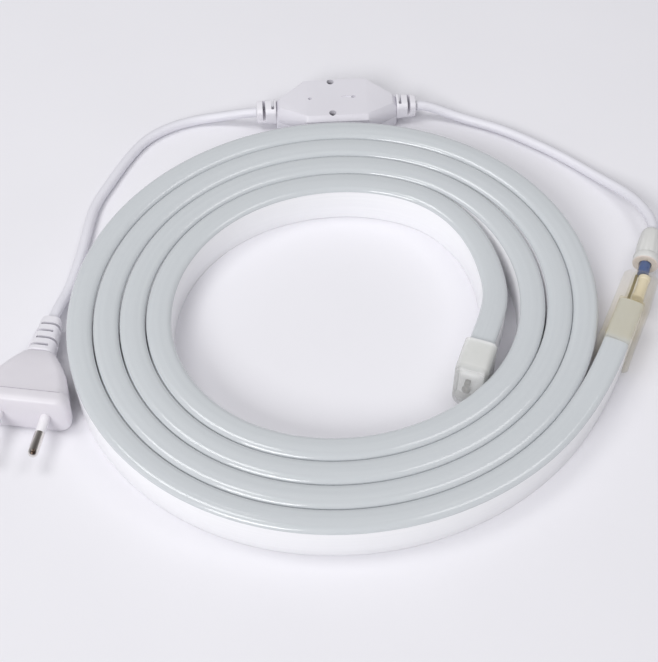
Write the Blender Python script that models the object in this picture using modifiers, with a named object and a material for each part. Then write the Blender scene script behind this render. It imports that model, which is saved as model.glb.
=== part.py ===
"""LED neon flex: two metres of 10 x 18.6 mm flex wound flat on its base, with an end cap,
a clear power connector, a rectifier box in its lead and a two pin plug.

Metres, +Z up. The origin is on the floor, under the middle of the coil and its connector."""

import math

import bmesh
import bpy
from mathutils import Matrix, Vector

MM = 0.001

# Clearance between pieces that touch
GAP = 0.3 * MM

# Flex section: an opaque channel with a milky lens on top
STRIP_WIDTH = 10.0 * MM
STRIP_HEIGHT = 18.6 * MM
LENS_SIDE = 2.0 * MM
LENS_SHOULDER = 2.85 * MM
LENS_CROWN = 0.2 * MM
CHANNEL_CHAMFER = 0.45 * MM

# Winding: radius of the flex's middle at the start, then one pitch less with each turn
COIL_X = -13.5 * MM
COIL_Y = 2.6 * MM
START_RADIUS = 106.4 * MM
TURN_GAP = 0.3 * MM
PITCH = STRIP_WIDTH + TURN_GAP
OVAL = 3.9 * MM
OVAL_ANGLE = math.radians(16.5)
FACET = math.radians(7.5)
FIRST_FACET = 4
LAST_FACET = 190
# The turns stand a little apart at the left and, further in, at the right
LEFT_SLACK = 0.3 * MM
LEFT_SLACK_REACH = math.radians(70)
RIGHT_SLACK = 1.05 * MM
RIGHT_SLACK_AT = math.radians(1062)
RIGHT_SLACK_REACH = math.radians(48)
# The inner end leans towards the middle
LEAN = 5.7 * MM
LEAN_AT = math.radians(1433)
LEAN_REACH = math.radians(56)
END_STEPS = 5

# End cap, from its open mouth, which lies inwards from where the winding ends
CAP_INWARD = 6.9 * MM
CAP_MOUTH_ANGLE = math.radians(-22.2)
CAP_HEADING = math.radians(-106)
CAP_LENGTH = 17.9 * MM
CAP_WIDTH = 13.2 * MM
CAP_FLOOR = 1.3 * MM
CAP_EDGE = 1.9 * MM
CAP_END_ROUND = 3.9 * MM
CAP_GRIP = 12.5 * MM
CAP_ROOM = 2.3 * MM
CIRCUIT_WIDTH = 3.6 * MM
CIRCUIT_HEIGHT = 6.4 * MM
CIRCUIT_THICK = 1.2 * MM
CIRCUIT_ASIDE = 1.1 * MM
CIRCUIT_BELOW = 1.7 * MM

# Power connector, from its open mouth, which lies outwards from where the winding starts
MOUTH_OUTWARD = 4.6 * MM
MOUTH_ANGLE = math.radians(-10.9)
MOUTH_HEADING = math.radians(66.5)
SLEEVE_WIDTH = 14.6 * MM
SLEEVE_LENGTH = 32.9 * MM
SLEEVE_GRIP = 21.4 * MM
SLEEVE_EDGE = 1.8 * MM
NECK_BEND = math.radians(7)
NECK_LENGTH = 15.7 * MM
NECK_RADIUS = 5.2 * MM
SPIGOT_RADIUS = 4.0 * MM
SPIGOT_LENGTH = 10.0 * MM
CORE_BORE = 3.95 * MM
WIRE_BORE = 2.65 * MM
CORE_RADIUS = 2.5 * MM
CORE_OFFSET = 1.1 * MM
CORE_LENGTH = 12.1 * MM
WIRE_RADIUS = 0.6 * MM
BLUE_RADIUS = WIRE_BORE - GAP
NUT_RADIUS = 5.5 * MM
NUT_END_RADIUS = 4.0 * MM
NUT_COLLAR = 3.6 * MM
NUT_LENGTH = 18.6 * MM
NUT_WALL_GAP = GAP

# Both stretches of round cord
CORD_RADIUS = 2.2 * MM

# Rectifier box: two shells on an eight sided outline, behind the coil
BOX_X = -1.1 * MM
BOX_BEHIND = 12.0 * MM
BOX_TURN = math.radians(3.5)
BOX_HALF_LENGTH = 27.6 * MM
BOX_HALF_BACK = 14.0 * MM
BOX_HALF_DEPTH = 13.3 * MM
BOX_HALF_SIDE = 5.0 * MM
BOX_HEIGHT = 15.0 * MM
BOX_SPLIT = 6.4 * MM
BOX_BEVEL = 1.6 * MM
BOX_FOOT = 0.7 * MM
SCREW_SPACING = 19.7 * MM
SCREW_SHIFT = -2.2 * MM
SCREW_HOLE = 1.7 * MM
SCREW_HEAD = 1.4 * MM
SCREW_DEPTH = 3.6 * MM
SCREW_HEAD_THICK = 1.3 * MM
BOX_RELIEF_HEIGHT = 7.5 * MM
BOX_RELIEF_LENGTH = 8.4 * MM
BOX_RELIEF_ROOT = 4.7 * MM
BOX_RELIEF_TIP = 4.1 * MM
BOX_RELIEF_FIRST_SLOT = 1.4 * MM

# Slots of a strain relief
SLOT_WIDTH = 1.3 * MM
SLOT_PITCH = 4.0 * MM
SLOT_REACH = 1.1 * MM

# Plug, from the tip of its strain relief, left of the coil. It lies on its belly, so that its
# middle line rises towards the pins
PLUG_ASIDE = 11.3 * MM
PLUG_Y = -1.4 * MM
PLUG_HEADING = math.radians(-97)
PLUG_RISE = math.radians(5)
PLUG_TIP_HEIGHT = 5.5 * MM
PLUG_RELIEF_LENGTH = 19.4 * MM
PLUG_RELIEF_TIP = 3.4 * MM
PLUG_RELIEF_ROOT = 5.2 * MM
PLUG_RELIEF_FIRST_SLOT = 3.0 * MM
PLUG_LENGTH = 28.9 * MM
PLUG_HALF_WIDTH = 18.5 * MM
PLUG_HALF_HEIGHT = 9.3 * MM
PIN_SPACING = 18.6 * MM
PIN_TOE_IN = math.radians(1.5)
PIN_RADIUS = 2.0 * MM
PIN_NECK = 1.3 * MM
PIN_SLEEVE_RADIUS = 1.95 * MM
PIN_SLEEVE_LENGTH = 7.7 * MM
PIN_BARE = 10.7 * MM
PIN_SOCKET = 3.6 * MM

# Routes of the cord in mm from the coil's middle, chosen by hand, between its ends. They move
# outwards with a coil that starts at another radius than this one
ROUTE_RADIUS = 106.4 * MM
LEAD_ROUTE = (
    (132.3, 55.0, 9.3), (127.1, 66.9, 6.4), (114.7, 80.6, 3.4), (101.4, 92.7, 2.5),
    (87.7, 102.3, 2.5), (73.4, 110.8, 2.5), (58.6, 116.6, 2.6), (47.3, 120.0, 4.7),
)
MAINS_ROUTE = (
    (-47.6, 117.0, 5.2), (-64.1, 116.4, 2.5), (-75.9, 112.1, 2.5), (-87.2, 103.9, 2.5),
    (-95.1, 91.2, 2.5), (-101.9, 76.1, 2.5), (-107.2, 62.5, 2.5), (-109.9, 38.8, 2.5),
    (-113.2, 18.6, 2.5), (-115.9, 8.5, 3.9),
)
CORD_SPACING = 9.3 * MM


def clear_scene():
    for old in list(bpy.data.objects):
        bpy.data.objects.remove(old, do_unlink=True)


def srgb(code):
    """Linear RGBA of a hex colour."""
    channels = (int(code[i:i + 2], 16) / 255 for i in (1, 3, 5))
    return tuple(c / 12.92 if c <= 0.04045 else ((c + 0.055) / 1.055) ** 2.4 for c in channels) + (1.0,)


def make_material(name, colour, roughness, metallic=0.0):
    material = bpy.data.materials.new(name)
    material.use_nodes = True
    shader = material.node_tree.nodes["Principled BSDF"]
    shader.inputs["Base Color"].default_value = srgb(colour)
    shader.inputs["Roughness"].default_value = roughness
    shader.inputs["Metallic"].default_value = metallic
    material.diffuse_color = srgb(colour)
    return material


def make_collection(name):
    collection = bpy.data.collections.new(name)
    bpy.context.scene.collection.children.link(collection)
    return collection


clear_scene()
PIECES = make_collection("led_neon_flex")
CUTTERS = make_collection("cutters")


def add_object(name, data, material, matrix=Matrix()):
    """A piece in the object's collection, shaded smooth except at its edges."""
    piece = bpy.data.objects.new(name, data)
    PIECES.objects.link(piece)
    piece.matrix_world = matrix
    data.materials.append(material)
    if isinstance(data, bpy.types.Mesh):
        data.shade_smooth()
        data.set_sharp_from_angle(angle=math.radians(35))
    return piece


def add_cutter(name, mesh, matrix=Matrix()):
    cutter = bpy.data.objects.new(name, mesh)
    CUTTERS.objects.link(cutter)
    cutter.matrix_world = matrix
    cutter.hide_render = True
    cutter.display_type = "WIRE"
    return cutter


def cut(piece, cutter):
    modifier = piece.modifiers.new(cutter.name, "BOOLEAN")
    modifier.operation = "DIFFERENCE"
    modifier.solver = "EXACT"
    modifier.object = cutter


def loft(name, rings):
    """A closed mesh through rings with equally many points, flat at both ends."""
    mesh = bpy.data.meshes.new(name)
    bm = bmesh.new()
    loops = [[bm.verts.new(point) for point in ring] for ring in rings]
    count = len(loops[0])
    for near, far in zip(loops, loops[1:]):
        for i in range(count):
            j = (i + 1) % count
            bm.faces.new((near[i], near[j], far[j], far[i]))
    bm.faces.new(reversed(loops[0]))
    bm.faces.new(loops[-1])
    bmesh.ops.recalc_face_normals(bm, faces=bm.faces)
    bm.to_mesh(mesh)
    bm.free()
    return mesh


def box_mesh(name, size_x, size_y, size_z):
    mesh = bpy.data.meshes.new(name)
    bm = bmesh.new()
    bmesh.ops.create_cube(bm, size=1.0)
    bmesh.ops.scale(bm, vec=(size_x, size_y, size_z), verts=bm.verts)
    bm.to_mesh(mesh)
    bm.free()
    return mesh


def cylinder_mesh(name, radius, length, sides=24):
    mesh = bpy.data.meshes.new(name)
    bm = bmesh.new()
    bmesh.ops.create_cone(bm, cap_ends=True, segments=sides, radius1=radius, radius2=radius, depth=length)
    bm.to_mesh(mesh)
    bm.free()
    return mesh


def turned(name, profile, material, matrix, steps=24):
    """A solid turned about its own Z axis from (radius, height) points, listed down the outside."""
    mesh = bpy.data.meshes.new(name)
    bm = bmesh.new()
    points = [bm.verts.new((radius, 0, height)) for radius, height in profile]
    for upper, lower in zip(points, points[1:]):
        bm.edges.new((upper, lower))
    if all(radius > 0 for radius, height in profile):
        bm.edges.new((points[-1], points[0]))
    bm.to_mesh(mesh)
    bm.free()
    piece = add_object(name, mesh, material, matrix)
    screw = piece.modifiers.new("turn", "SCREW")
    screw.axis = "Z"
    screw.steps = steps
    screw.render_steps = steps
    screw.use_merge_vertices = True
    screw.merge_threshold = 0.00005
    screw.use_smooth_shade = True
    return piece


def rounded_rectangle(half_width, half_height, radius, steps=3):
    """Corner points of a rounded rectangle, counter-clockwise from the right side."""
    points = []
    for quarter in range(4):
        corner_x = (half_width - radius) * (1 if quarter in (0, 3) else -1)
        corner_y = (half_height - radius) * (1 if quarter in (0, 1) else -1)
        for step in range(steps + 1):
            angle = math.pi / 2 * (quarter + step / steps)
            points.append((corner_x + radius * math.cos(angle), corner_y + radius * math.sin(angle)))
    return points


def heading_vector(heading):
    return Vector((math.cos(heading), math.sin(heading), 0))


def right_of(heading):
    return Vector((math.sin(heading), -math.cos(heading), 0))


def frame_along(place, heading, tilt=0.0):
    """Matrix whose Z axis runs along the heading and whose Y axis stays up."""
    forward = heading_vector(heading) * math.cos(tilt) + Vector((0, 0, math.sin(tilt)))
    side = right_of(heading) * -1
    up = forward.cross(side)
    matrix = Matrix((side, up, forward)).transposed().to_4x4()
    matrix.translation = place
    return matrix


def ring_at(section, place, heading):
    """A section of (across, up) points, standing square to the heading."""
    side = right_of(heading)
    return [place + side * across + Vector((0, 0, up)) for across, up in section]


# Route of the flex


COIL_MIDDLE = Vector((COIL_X, COIL_Y, 0))


def bump(angle, middle, reach):
    """Rises smoothly from 0 to 1 at the middle and falls back within the reach."""
    offset = angle - middle
    if abs(offset) >= reach:
        return 0.0
    return math.cos(math.pi / 2 * offset / reach) ** 2


def winding_point(wound):
    """Middle of the flex on the floor after winding through this angle, clockwise from above."""
    turns = wound / (2 * math.pi)
    radius = START_RADIUS - PITCH * turns
    radius += OVAL * math.cos(2 * (-wound - OVAL_ANGLE))
    radius -= LEFT_SLACK * turns * bump(wound % (2 * math.pi), math.pi, LEFT_SLACK_REACH)
    radius -= RIGHT_SLACK * bump(wound, RIGHT_SLACK_AT, RIGHT_SLACK_REACH)
    radius -= LEAN * bump(wound, LEAN_AT, LEAN_REACH)
    return from_middle(radius, -wound)


def easy_bend(start, start_heading, end, end_heading, steps):
    """Points of a smooth bend between two places with given headings, without the end points."""
    reach = (end - start).length / 3
    first = start + heading_vector(start_heading) * reach
    second = end - heading_vector(end_heading) * reach
    points = []
    for step in range(1, steps):
        t = step / steps
        s = 1 - t
        points.append(start * s ** 3 + first * 3 * t * s ** 2 + second * 3 * t ** 2 * s + end * t ** 3)
    return points


LIFT = CAP_FLOOR + GAP
LAST_RADIUS = START_RADIUS - PITCH * LAST_FACET * FACET / (2 * math.pi)


def from_middle(radius, angle):
    return COIL_MIDDLE + Vector((radius * math.cos(angle), radius * math.sin(angle), 0))


MOUTH = from_middle(START_RADIUS + MOUTH_OUTWARD, MOUTH_ANGLE)
CAP_MOUTH = from_middle(LAST_RADIUS - CAP_INWARD, CAP_MOUTH_ANGLE)


def flex_route():
    """Floor points of the flex's middle, from its end in the connector to its end in the cap."""
    wound = [FACET * i for i in range(FIRST_FACET, LAST_FACET + 1)]
    turns = [winding_point(angle) for angle in wound]
    entry = turns[0] - winding_point(wound[0] - FACET / 50)
    leaving = winding_point(wound[-1] + FACET / 50) - turns[-1]
    into_coil = MOUTH_HEADING + math.pi
    points = [MOUTH + heading_vector(MOUTH_HEADING) * SLEEVE_GRIP, MOUTH.copy()]
    points += easy_bend(MOUTH, into_coil, turns[0], math.atan2(entry.y, entry.x), END_STEPS)
    points += turns
    points += easy_bend(turns[-1], math.atan2(leaving.y, leaving.x), CAP_MOUTH, CAP_HEADING, END_STEPS)
    points += [CAP_MOUTH.copy(), CAP_MOUTH + heading_vector(CAP_HEADING) * CAP_GRIP]
    return points


def lifted(route):
    """The route raised at both ends, where the cap and the connector have a floor under the flex."""
    ramp = END_STEPS + 2
    count = len(route)
    raised = []
    for i, point in enumerate(route):
        from_end = min(i, count - 1 - i)
        t = min(max((from_end - 1) / ramp, 0.0), 1.0)
        raised.append(point + Vector((0, 0, LIFT * (1 - t * t * (3 - 2 * t)))))
    return raised


def route_headings(route):
    headings = []
    for i in range(len(route)):
        before = route[max(i - 1, 0)]
        after = route[min(i + 1, len(route) - 1)]
        headings.append(math.atan2(after.y - before.y, after.x - before.x))
    return headings


def sweep(name, section, material):
    """A section of (outward, up) points carried along the flex's route."""
    route = lifted(flex_route())
    headings = route_headings(route)
    rings = [ring_at([(-out, up) for out, up in section], place, heading)
             for place, heading in zip(route, headings)]
    return add_object(name, loft(name, rings), material)


def base_channel():
    half = STRIP_WIDTH / 2
    top = STRIP_HEIGHT - LENS_SIDE
    chamfer = CHANNEL_CHAMFER
    foot = half - chamfer
    section = ((half, top), (-half, top), (-half, chamfer), (-foot, 0), (foot, 0), (half, chamfer))
    sweep("base_channel", section, make_material("white_pvc_channel", "#ECECF0", 0.45))


def diffuser_lens():
    half = STRIP_WIDTH / 2
    base = STRIP_HEIGHT - LENS_SIDE + GAP
    rise = STRIP_HEIGHT - LENS_CROWN - base
    right = []
    for step in range(1, 4):
        angle = math.pi / 6 * step
        right.append((half - LENS_SHOULDER * (1 - math.cos(angle)), base + rise * math.sin(angle)))
    left = [(-out, up) for out, up in reversed(right)]
    section = [(half, base)] + right + [(0, STRIP_HEIGHT)] + left + [(-half, base)]
    sweep("diffuser_lens", section, make_material("milky_pvc_lens", "#C8CDCE", 0.35))


# End cap


def cap_place(distance, height, aside=0.0):
    place = CAP_MOUTH + heading_vector(CAP_HEADING) * distance + right_of(CAP_HEADING) * aside
    return place + Vector((0, 0, height))


def end_cap():
    half_height = (STRIP_HEIGHT + 2 * LIFT) / 2
    rings = []
    for step in range(6):
        angle = math.pi / 2 * step / 5
        distance = CAP_LENGTH - CAP_END_ROUND * (1 - math.sin(angle))
        narrow = CAP_END_ROUND * (1 - math.cos(angle))
        half = CAP_WIDTH / 2 - narrow
        section = rounded_rectangle(half, half_height - min(narrow, CAP_FLOOR) / 3, CAP_EDGE)
        rings.append(ring_at(section, cap_place(distance, half_height), CAP_HEADING))
    mouth = rounded_rectangle(CAP_WIDTH / 2, half_height, CAP_EDGE)
    rings.insert(0, ring_at(mouth, cap_place(0, half_height), CAP_HEADING))
    cloudy = make_material("clear_milky_pvc_cap", "#CDD2D2", 0.25)
    cap = add_object("end_cap", loft("end_cap", rings), cloudy)
    depth = CAP_GRIP + GAP
    outside = 5 * MM
    flex_room = box_mesh("flex_room", STRIP_WIDTH + 2 * GAP, STRIP_HEIGHT + 2 * GAP, depth + outside)
    middle = (depth - outside) / 2
    place = cap_place(middle, half_height)
    cut(cap, add_cutter("flex_room", flex_room, frame_along(place, CAP_HEADING)))
    room = box_mesh("circuit_room", CIRCUIT_WIDTH + 2 * GAP, CIRCUIT_HEIGHT + 2 * GAP, CAP_ROOM + MM)
    middle = depth + CAP_ROOM / 2 - 0.5 * MM
    place = cap_place(middle, half_height - CIRCUIT_BELOW, CIRCUIT_ASIDE)
    cut(cap, add_cutter("circuit_room", room, frame_along(place, CAP_HEADING)))


def circuit_end():
    """The cut end of the LED circuit, which shows through the cap."""
    half_height = (STRIP_HEIGHT + 2 * LIFT) / 2
    mesh = box_mesh("circuit_end", CIRCUIT_WIDTH, CIRCUIT_HEIGHT, CIRCUIT_THICK)
    place = cap_place(CAP_GRIP + GAP + CIRCUIT_THICK / 2, half_height - CIRCUIT_BELOW, CIRCUIT_ASIDE)
    tinned = make_material("tinned_circuit", "#7E7468", 0.35, 0.6)
    add_object("circuit_end", mesh, tinned, frame_along(place, CAP_HEADING))


# Power connector


NECK_HEADING = MOUTH_HEADING + NECK_BEND
AXIS_HEIGHT = (STRIP_HEIGHT + 2 * LIFT) / 2


def connector_point(distance):
    """Place on the connector's axis and its heading there: straight, one bend, straight."""
    bend_radius = NECK_LENGTH / NECK_BEND
    straight = min(distance, SLEEVE_LENGTH)
    place = MOUTH + heading_vector(MOUTH_HEADING) * straight + Vector((0, 0, AXIS_HEIGHT))
    turned_by = min(max(distance - SLEEVE_LENGTH, 0), NECK_LENGTH) / bend_radius
    heading = MOUTH_HEADING + turned_by
    side = right_of(MOUTH_HEADING) * -1
    place += heading_vector(MOUTH_HEADING) * bend_radius * math.sin(turned_by)
    place += side * bend_radius * (1 - math.cos(turned_by))
    beyond = max(distance - SLEEVE_LENGTH - NECK_LENGTH, 0)
    return place + heading_vector(heading) * beyond, heading


def connector_ring(section, distance, across=0.0):
    place, heading = connector_point(distance)
    return ring_at(section, place + right_of(heading) * across, heading)


def circle(radius, count=16):
    """Points of a circle, placed like those of a rounded rectangle with as many points."""
    return rounded_rectangle(radius, radius, radius * 0.999, count // 4 - 1)


NECK_END = SLEEVE_LENGTH + NECK_LENGTH
CORE_START = SLEEVE_GRIP + 8.6 * MM
BORE_STEP = CORE_START + CORE_LENGTH + GAP


def connector_sleeve():
    half_height = AXIS_HEIGHT
    straight = rounded_rectangle(SLEEVE_WIDTH / 2, half_height, SLEEVE_EDGE)
    rings = [connector_ring(straight, 0), connector_ring(straight, SLEEVE_LENGTH * 0.8)]
    for t in (0.0, 0.35, 0.7, 1.0):
        blend = t * t * (3 - 2 * t)
        half_width = SLEEVE_WIDTH / 2 + (NECK_RADIUS - SLEEVE_WIDTH / 2) * blend
        height = half_height + (NECK_RADIUS - half_height) * blend
        edge = SLEEVE_EDGE + (NECK_RADIUS * 0.999 - SLEEVE_EDGE) * blend
        section = rounded_rectangle(half_width, height, edge)
        rings.append(connector_ring(section, SLEEVE_LENGTH + NECK_LENGTH * 0.75 * t))
    rings.append(connector_ring(circle(NECK_RADIUS), NECK_END))
    rings.append(connector_ring(circle(SPIGOT_RADIUS), NECK_END + GAP / 2))
    rings.append(connector_ring(circle(SPIGOT_RADIUS), NECK_END + SPIGOT_LENGTH))
    clear = make_material("clear_pvc", "#CBC5B0", 0.15)
    sleeve = add_object("connector_sleeve", loft("connector_sleeve", rings), clear)
    depth = SLEEVE_GRIP + GAP
    outside = 5 * MM
    flex_room = box_mesh("sleeve_room", STRIP_WIDTH + 2 * GAP, STRIP_HEIGHT + 2 * GAP, depth + outside)
    place, heading = connector_point(0)
    place = place + heading_vector(heading) * (depth - outside) / 2
    cut(sleeve, add_cutter("sleeve_room", flex_room, frame_along(place, heading)))
    wide = [connector_ring(circle(CORE_BORE), d) for d in (SLEEVE_GRIP - MM, SLEEVE_LENGTH, BORE_STEP)]
    cut(sleeve, add_cutter("core_bore", loft("core_bore", wide)))
    stops = (BORE_STEP - MM, (BORE_STEP + NECK_END) / 2, NECK_END, NECK_END + SPIGOT_LENGTH + MM)
    narrow = [connector_ring(circle(WIRE_BORE), d) for d in stops]
    cut(sleeve, add_cutter("wire_bore", loft("wire_bore", narrow)))


def contact_core():
    stops = [CORE_START + CORE_LENGTH * t for t in (0, 0.25, 0.5, 1)]
    mesh = loft("contact_core", [connector_ring(circle(CORE_RADIUS), d, CORE_OFFSET) for d in stops])
    add_object("contact_core", mesh, make_material("cream_contact_core", "#D9D2BC", 0.4))


def inner_wires():
    """The blue wire behind the contact core and the dark one beside it."""
    start = BORE_STEP + GAP
    stops = (start, (start + NECK_END) / 2, NECK_END, NECK_END + SPIGOT_LENGTH)
    blue = loft("blue_wire", [connector_ring(circle(BLUE_RADIUS), d) for d in stops])
    add_object("blue_wire", blue, make_material("blue_insulation", "#4667A8", 0.4))
    across = CORE_OFFSET - CORE_RADIUS - GAP - WIRE_RADIUS
    stops = (SLEEVE_GRIP + GAP, CORE_START, SLEEVE_LENGTH, BORE_STEP - GAP)
    dark = loft("dark_wire", [connector_ring(circle(WIRE_RADIUS, 8), d, across) for d in stops])
    add_object("dark_wire", dark, make_material("dark_insulation", "#5A5145", 0.5))


def gland_nut():
    place, heading = connector_point(NECK_END)
    bore = SPIGOT_RADIUS + NUT_WALL_GAP
    start = GAP
    end = NUT_LENGTH
    profile = (
        (0, end), (NUT_END_RADIUS - 0.9 * MM, end), (NUT_END_RADIUS, end - 0.9 * MM),
        (NUT_RADIUS - 0.6 * MM, end - 5 * MM), (NUT_RADIUS - 0.4 * MM, start + NUT_COLLAR + 0.4 * MM),
        (NUT_RADIUS, start + NUT_COLLAR), (NUT_RADIUS, start + 0.4 * MM), (NUT_RADIUS - 0.4 * MM, start),
        (bore, start), (bore, SPIGOT_LENGTH + GAP), (0, SPIGOT_LENGTH + GAP),
    )
    cloudy = make_material("cloudy_pvc_nut", "#DCDCDC", 0.35)
    turned("gland_nut", profile, cloudy, frame_along(place, heading))


# Strain reliefs


def strain_relief(name, frame, length, tip, root, slots, material):
    """A cone along the frame's Z axis from the cord's end. Each slot, given as its side, 1 for left,
    and its distance from the root, is cut from the top past the middle."""
    profile = (
        (0, length), (root, length), (root, length - 1.1 * MM),
        (tip + 0.2 * MM, 0.7 * MM), (tip - 0.4 * MM, 0), (0, 0),
    )
    relief = turned(name, profile, material, frame, 16)
    for i, (side, from_root) in enumerate(slots):
        width = root + SLOT_REACH
        up = root / 2 + CORD_RADIUS / 2
        middle = Vector((side * (width / 2 - SLOT_REACH), up, length - from_root))
        slot = box_mesh(f"{name}_slot", width, root, SLOT_WIDTH)
        cut(relief, add_cutter(f"{name}_slot_{i + 1}", slot, frame @ Matrix.Translation(middle)))


# Rectifier box


def box_point(across, along, height):
    """Place on the box from its middle: across is its long side, along its depth."""
    turn = Matrix.Rotation(BOX_TURN, 3, "Z")
    middle = COIL_MIDDLE + Vector((BOX_X, START_RADIUS + BOX_BEHIND, 0))
    return middle + turn @ Vector((across, along, height))


def box_outline(inset, height):
    long = BOX_HALF_LENGTH - inset
    side = BOX_HALF_SIDE - inset * 0.4
    deep = BOX_HALF_DEPTH - inset
    back = BOX_HALF_BACK - inset * 0.25
    corners = (
        (long, -side), (long, side), (back, deep), (-back, deep),
        (-long, side), (-long, -side), (-back, -deep), (back, -deep),
    )
    return [box_point(x, y, height) for x, y in corners]


def box_shells():
    shell = make_material("white_box_shell", "#DAD8E1", 0.4)
    lower = [box_outline(BOX_FOOT, 0), box_outline(0, BOX_FOOT), box_outline(0, BOX_SPLIT)]
    add_object("box_bottom_shell", loft("box_bottom_shell", lower), shell)
    top = BOX_HEIGHT
    upper = [box_outline(0, BOX_SPLIT + GAP), box_outline(0, top - BOX_BEVEL)]
    upper.append(box_outline(BOX_BEVEL, top))
    lid = add_object("box_top_shell", loft("box_top_shell", upper), shell.copy())
    for i, side in enumerate((-1, 1)):
        place = box_point(SCREW_SHIFT, side * SCREW_SPACING / 2, top - SCREW_DEPTH / 2 + 0.5 * MM)
        hole = cylinder_mesh("screw_hole", SCREW_HOLE, SCREW_DEPTH + MM, 16)
        cut(lid, add_cutter(f"screw_hole_{i + 1}", hole, Matrix.Translation(place)))
        head = cylinder_mesh("screw_head", SCREW_HEAD, SCREW_HEAD_THICK, 16)
        depth = SCREW_DEPTH - GAP - SCREW_HEAD_THICK / 2
        place = box_point(SCREW_SHIFT, side * SCREW_SPACING / 2, top - depth)
        metal = make_material("dark_screw", "#3A3A3E", 0.4, 0.8)
        add_object(f"box_screw_{i + 1}", head, metal, Matrix.Translation(place))


def box_reliefs():
    grip = make_material("white_relief", "#E2E0E8", 0.45)
    for name, side in (("box_relief_lead", 1), ("box_relief_mains", -1)):
        tip = box_point(side * (BOX_HALF_LENGTH + GAP + BOX_RELIEF_LENGTH), 0, BOX_RELIEF_HEIGHT)
        frame = frame_along(tip, BOX_TURN + (math.pi if side == 1 else 0))
        slots = ((-side, BOX_RELIEF_FIRST_SLOT), (side, BOX_RELIEF_FIRST_SLOT + SLOT_PITCH))
        strain_relief(name, frame, BOX_RELIEF_LENGTH, BOX_RELIEF_TIP, BOX_RELIEF_ROOT, slots, grip.copy())


# Plug


PLUG_TIP = COIL_MIDDLE + Vector((-START_RADIUS - PLUG_ASIDE, PLUG_Y, PLUG_TIP_HEIGHT))


def plug_frame(distance, across=0.0, turn=0.0):
    """Frame on the plug's middle line, or left of it, with its Z axis towards the pins."""
    forward = heading_vector(PLUG_HEADING) * math.cos(PLUG_RISE) + Vector((0, 0, math.sin(PLUG_RISE)))
    place = PLUG_TIP + forward * distance - right_of(PLUG_HEADING) * across
    return frame_along(place, PLUG_HEADING + turn, PLUG_RISE)


def oval_section(half_width, half_height, count=20, squareness=2.6):
    points = []
    for i in range(count):
        angle = 2 * math.pi * i / count
        x = math.copysign(abs(math.cos(angle)) ** (2 / squareness), math.cos(angle))
        y = math.copysign(abs(math.sin(angle)) ** (2 / squareness), math.sin(angle))
        points.append((half_width * x, half_height * y))
    return points


def plug_body():
    start = PLUG_RELIEF_LENGTH + GAP
    wide = PLUG_HALF_WIDTH
    tall = PLUG_HALF_HEIGHT
    stations = (
        (0, 0.36, 0.58), (0.055, 0.4, 0.65), (0.27, 0.61, 0.82), (0.415, 0.75, 0.87), (0.59, 0.85, 0.91),
        (0.73, 0.89, 0.95), (0.8, 0.98, 0.97), (0.89, 1, 1), (0.96, 0.98, 0.96), (1, 0.91, 0.85),
    )
    rings = []
    for t, width_share, height_share in stations:
        section = oval_section(wide * width_share, tall * height_share)
        matrix = plug_frame(start + PLUG_LENGTH * t)
        rings.append([matrix @ Vector((across, up, 0)) for across, up in section])
    white = make_material("white_plug", "#DCD9E0", 0.45)
    body = add_object("plug_body", loft("plug_body", rings), white)
    face = start + PLUG_LENGTH
    for i, side in enumerate((-1, 1)):
        depth = PIN_SOCKET + GAP
        hole = cylinder_mesh("pin_socket", PIN_NECK + GAP, depth + MM, 16)
        place = plug_frame(face - depth / 2 + 0.5 * MM, side * PIN_SPACING / 2)
        cut(body, add_cutter(f"pin_socket_{i + 1}", hole, place))


def plug_pins():
    """Nickel pins on a neck that runs through a white sleeve into the body."""
    face = PLUG_RELIEF_LENGTH + GAP + PLUG_LENGTH
    nickel = make_material("nickel_pin", "#B9B2A6", 0.22, 1.0)
    white = make_material("white_pin_sleeve", "#E6E4E8", 0.4)
    for name, side in (("right", 1), ("left", -1)):
        frame = plug_frame(face, side * PIN_SPACING / 2, -side * PIN_TOE_IN)
        sleeve_start = GAP
        sleeve_end = sleeve_start + PIN_SLEEVE_LENGTH
        inner = PIN_NECK + GAP
        outer = PIN_SLEEVE_RADIUS
        ring = ((outer, sleeve_end), (outer, sleeve_start), (inner, sleeve_start), (inner, sleeve_end))
        turned(f"pin_sleeve_{name}", ring, white.copy(), frame, 16)
        bare = sleeve_end + GAP
        tip = bare + PIN_BARE
        profile = (
            (0, tip), (PIN_RADIUS * 0.55, tip - 0.2 * MM), (PIN_RADIUS * 0.9, tip - 0.8 * MM),
            (PIN_RADIUS, tip - 1.8 * MM), (PIN_RADIUS, bare), (PIN_NECK, bare), (PIN_NECK, 0), (0, 0),
        )
        turned(f"plug_pin_{name}", profile, nickel.copy(), frame, 16)


def plug_relief():
    white = make_material("white_plug_relief", "#DEDCE4", 0.45)
    slots = [((-1, 1)[i % 2], PLUG_RELIEF_FIRST_SLOT + SLOT_PITCH * i) for i in range(4)]
    tip, root = PLUG_RELIEF_TIP, PLUG_RELIEF_ROOT
    strain_relief("plug_relief", plug_frame(0), PLUG_RELIEF_LENGTH, tip, root, slots, white)


# Cord


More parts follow.
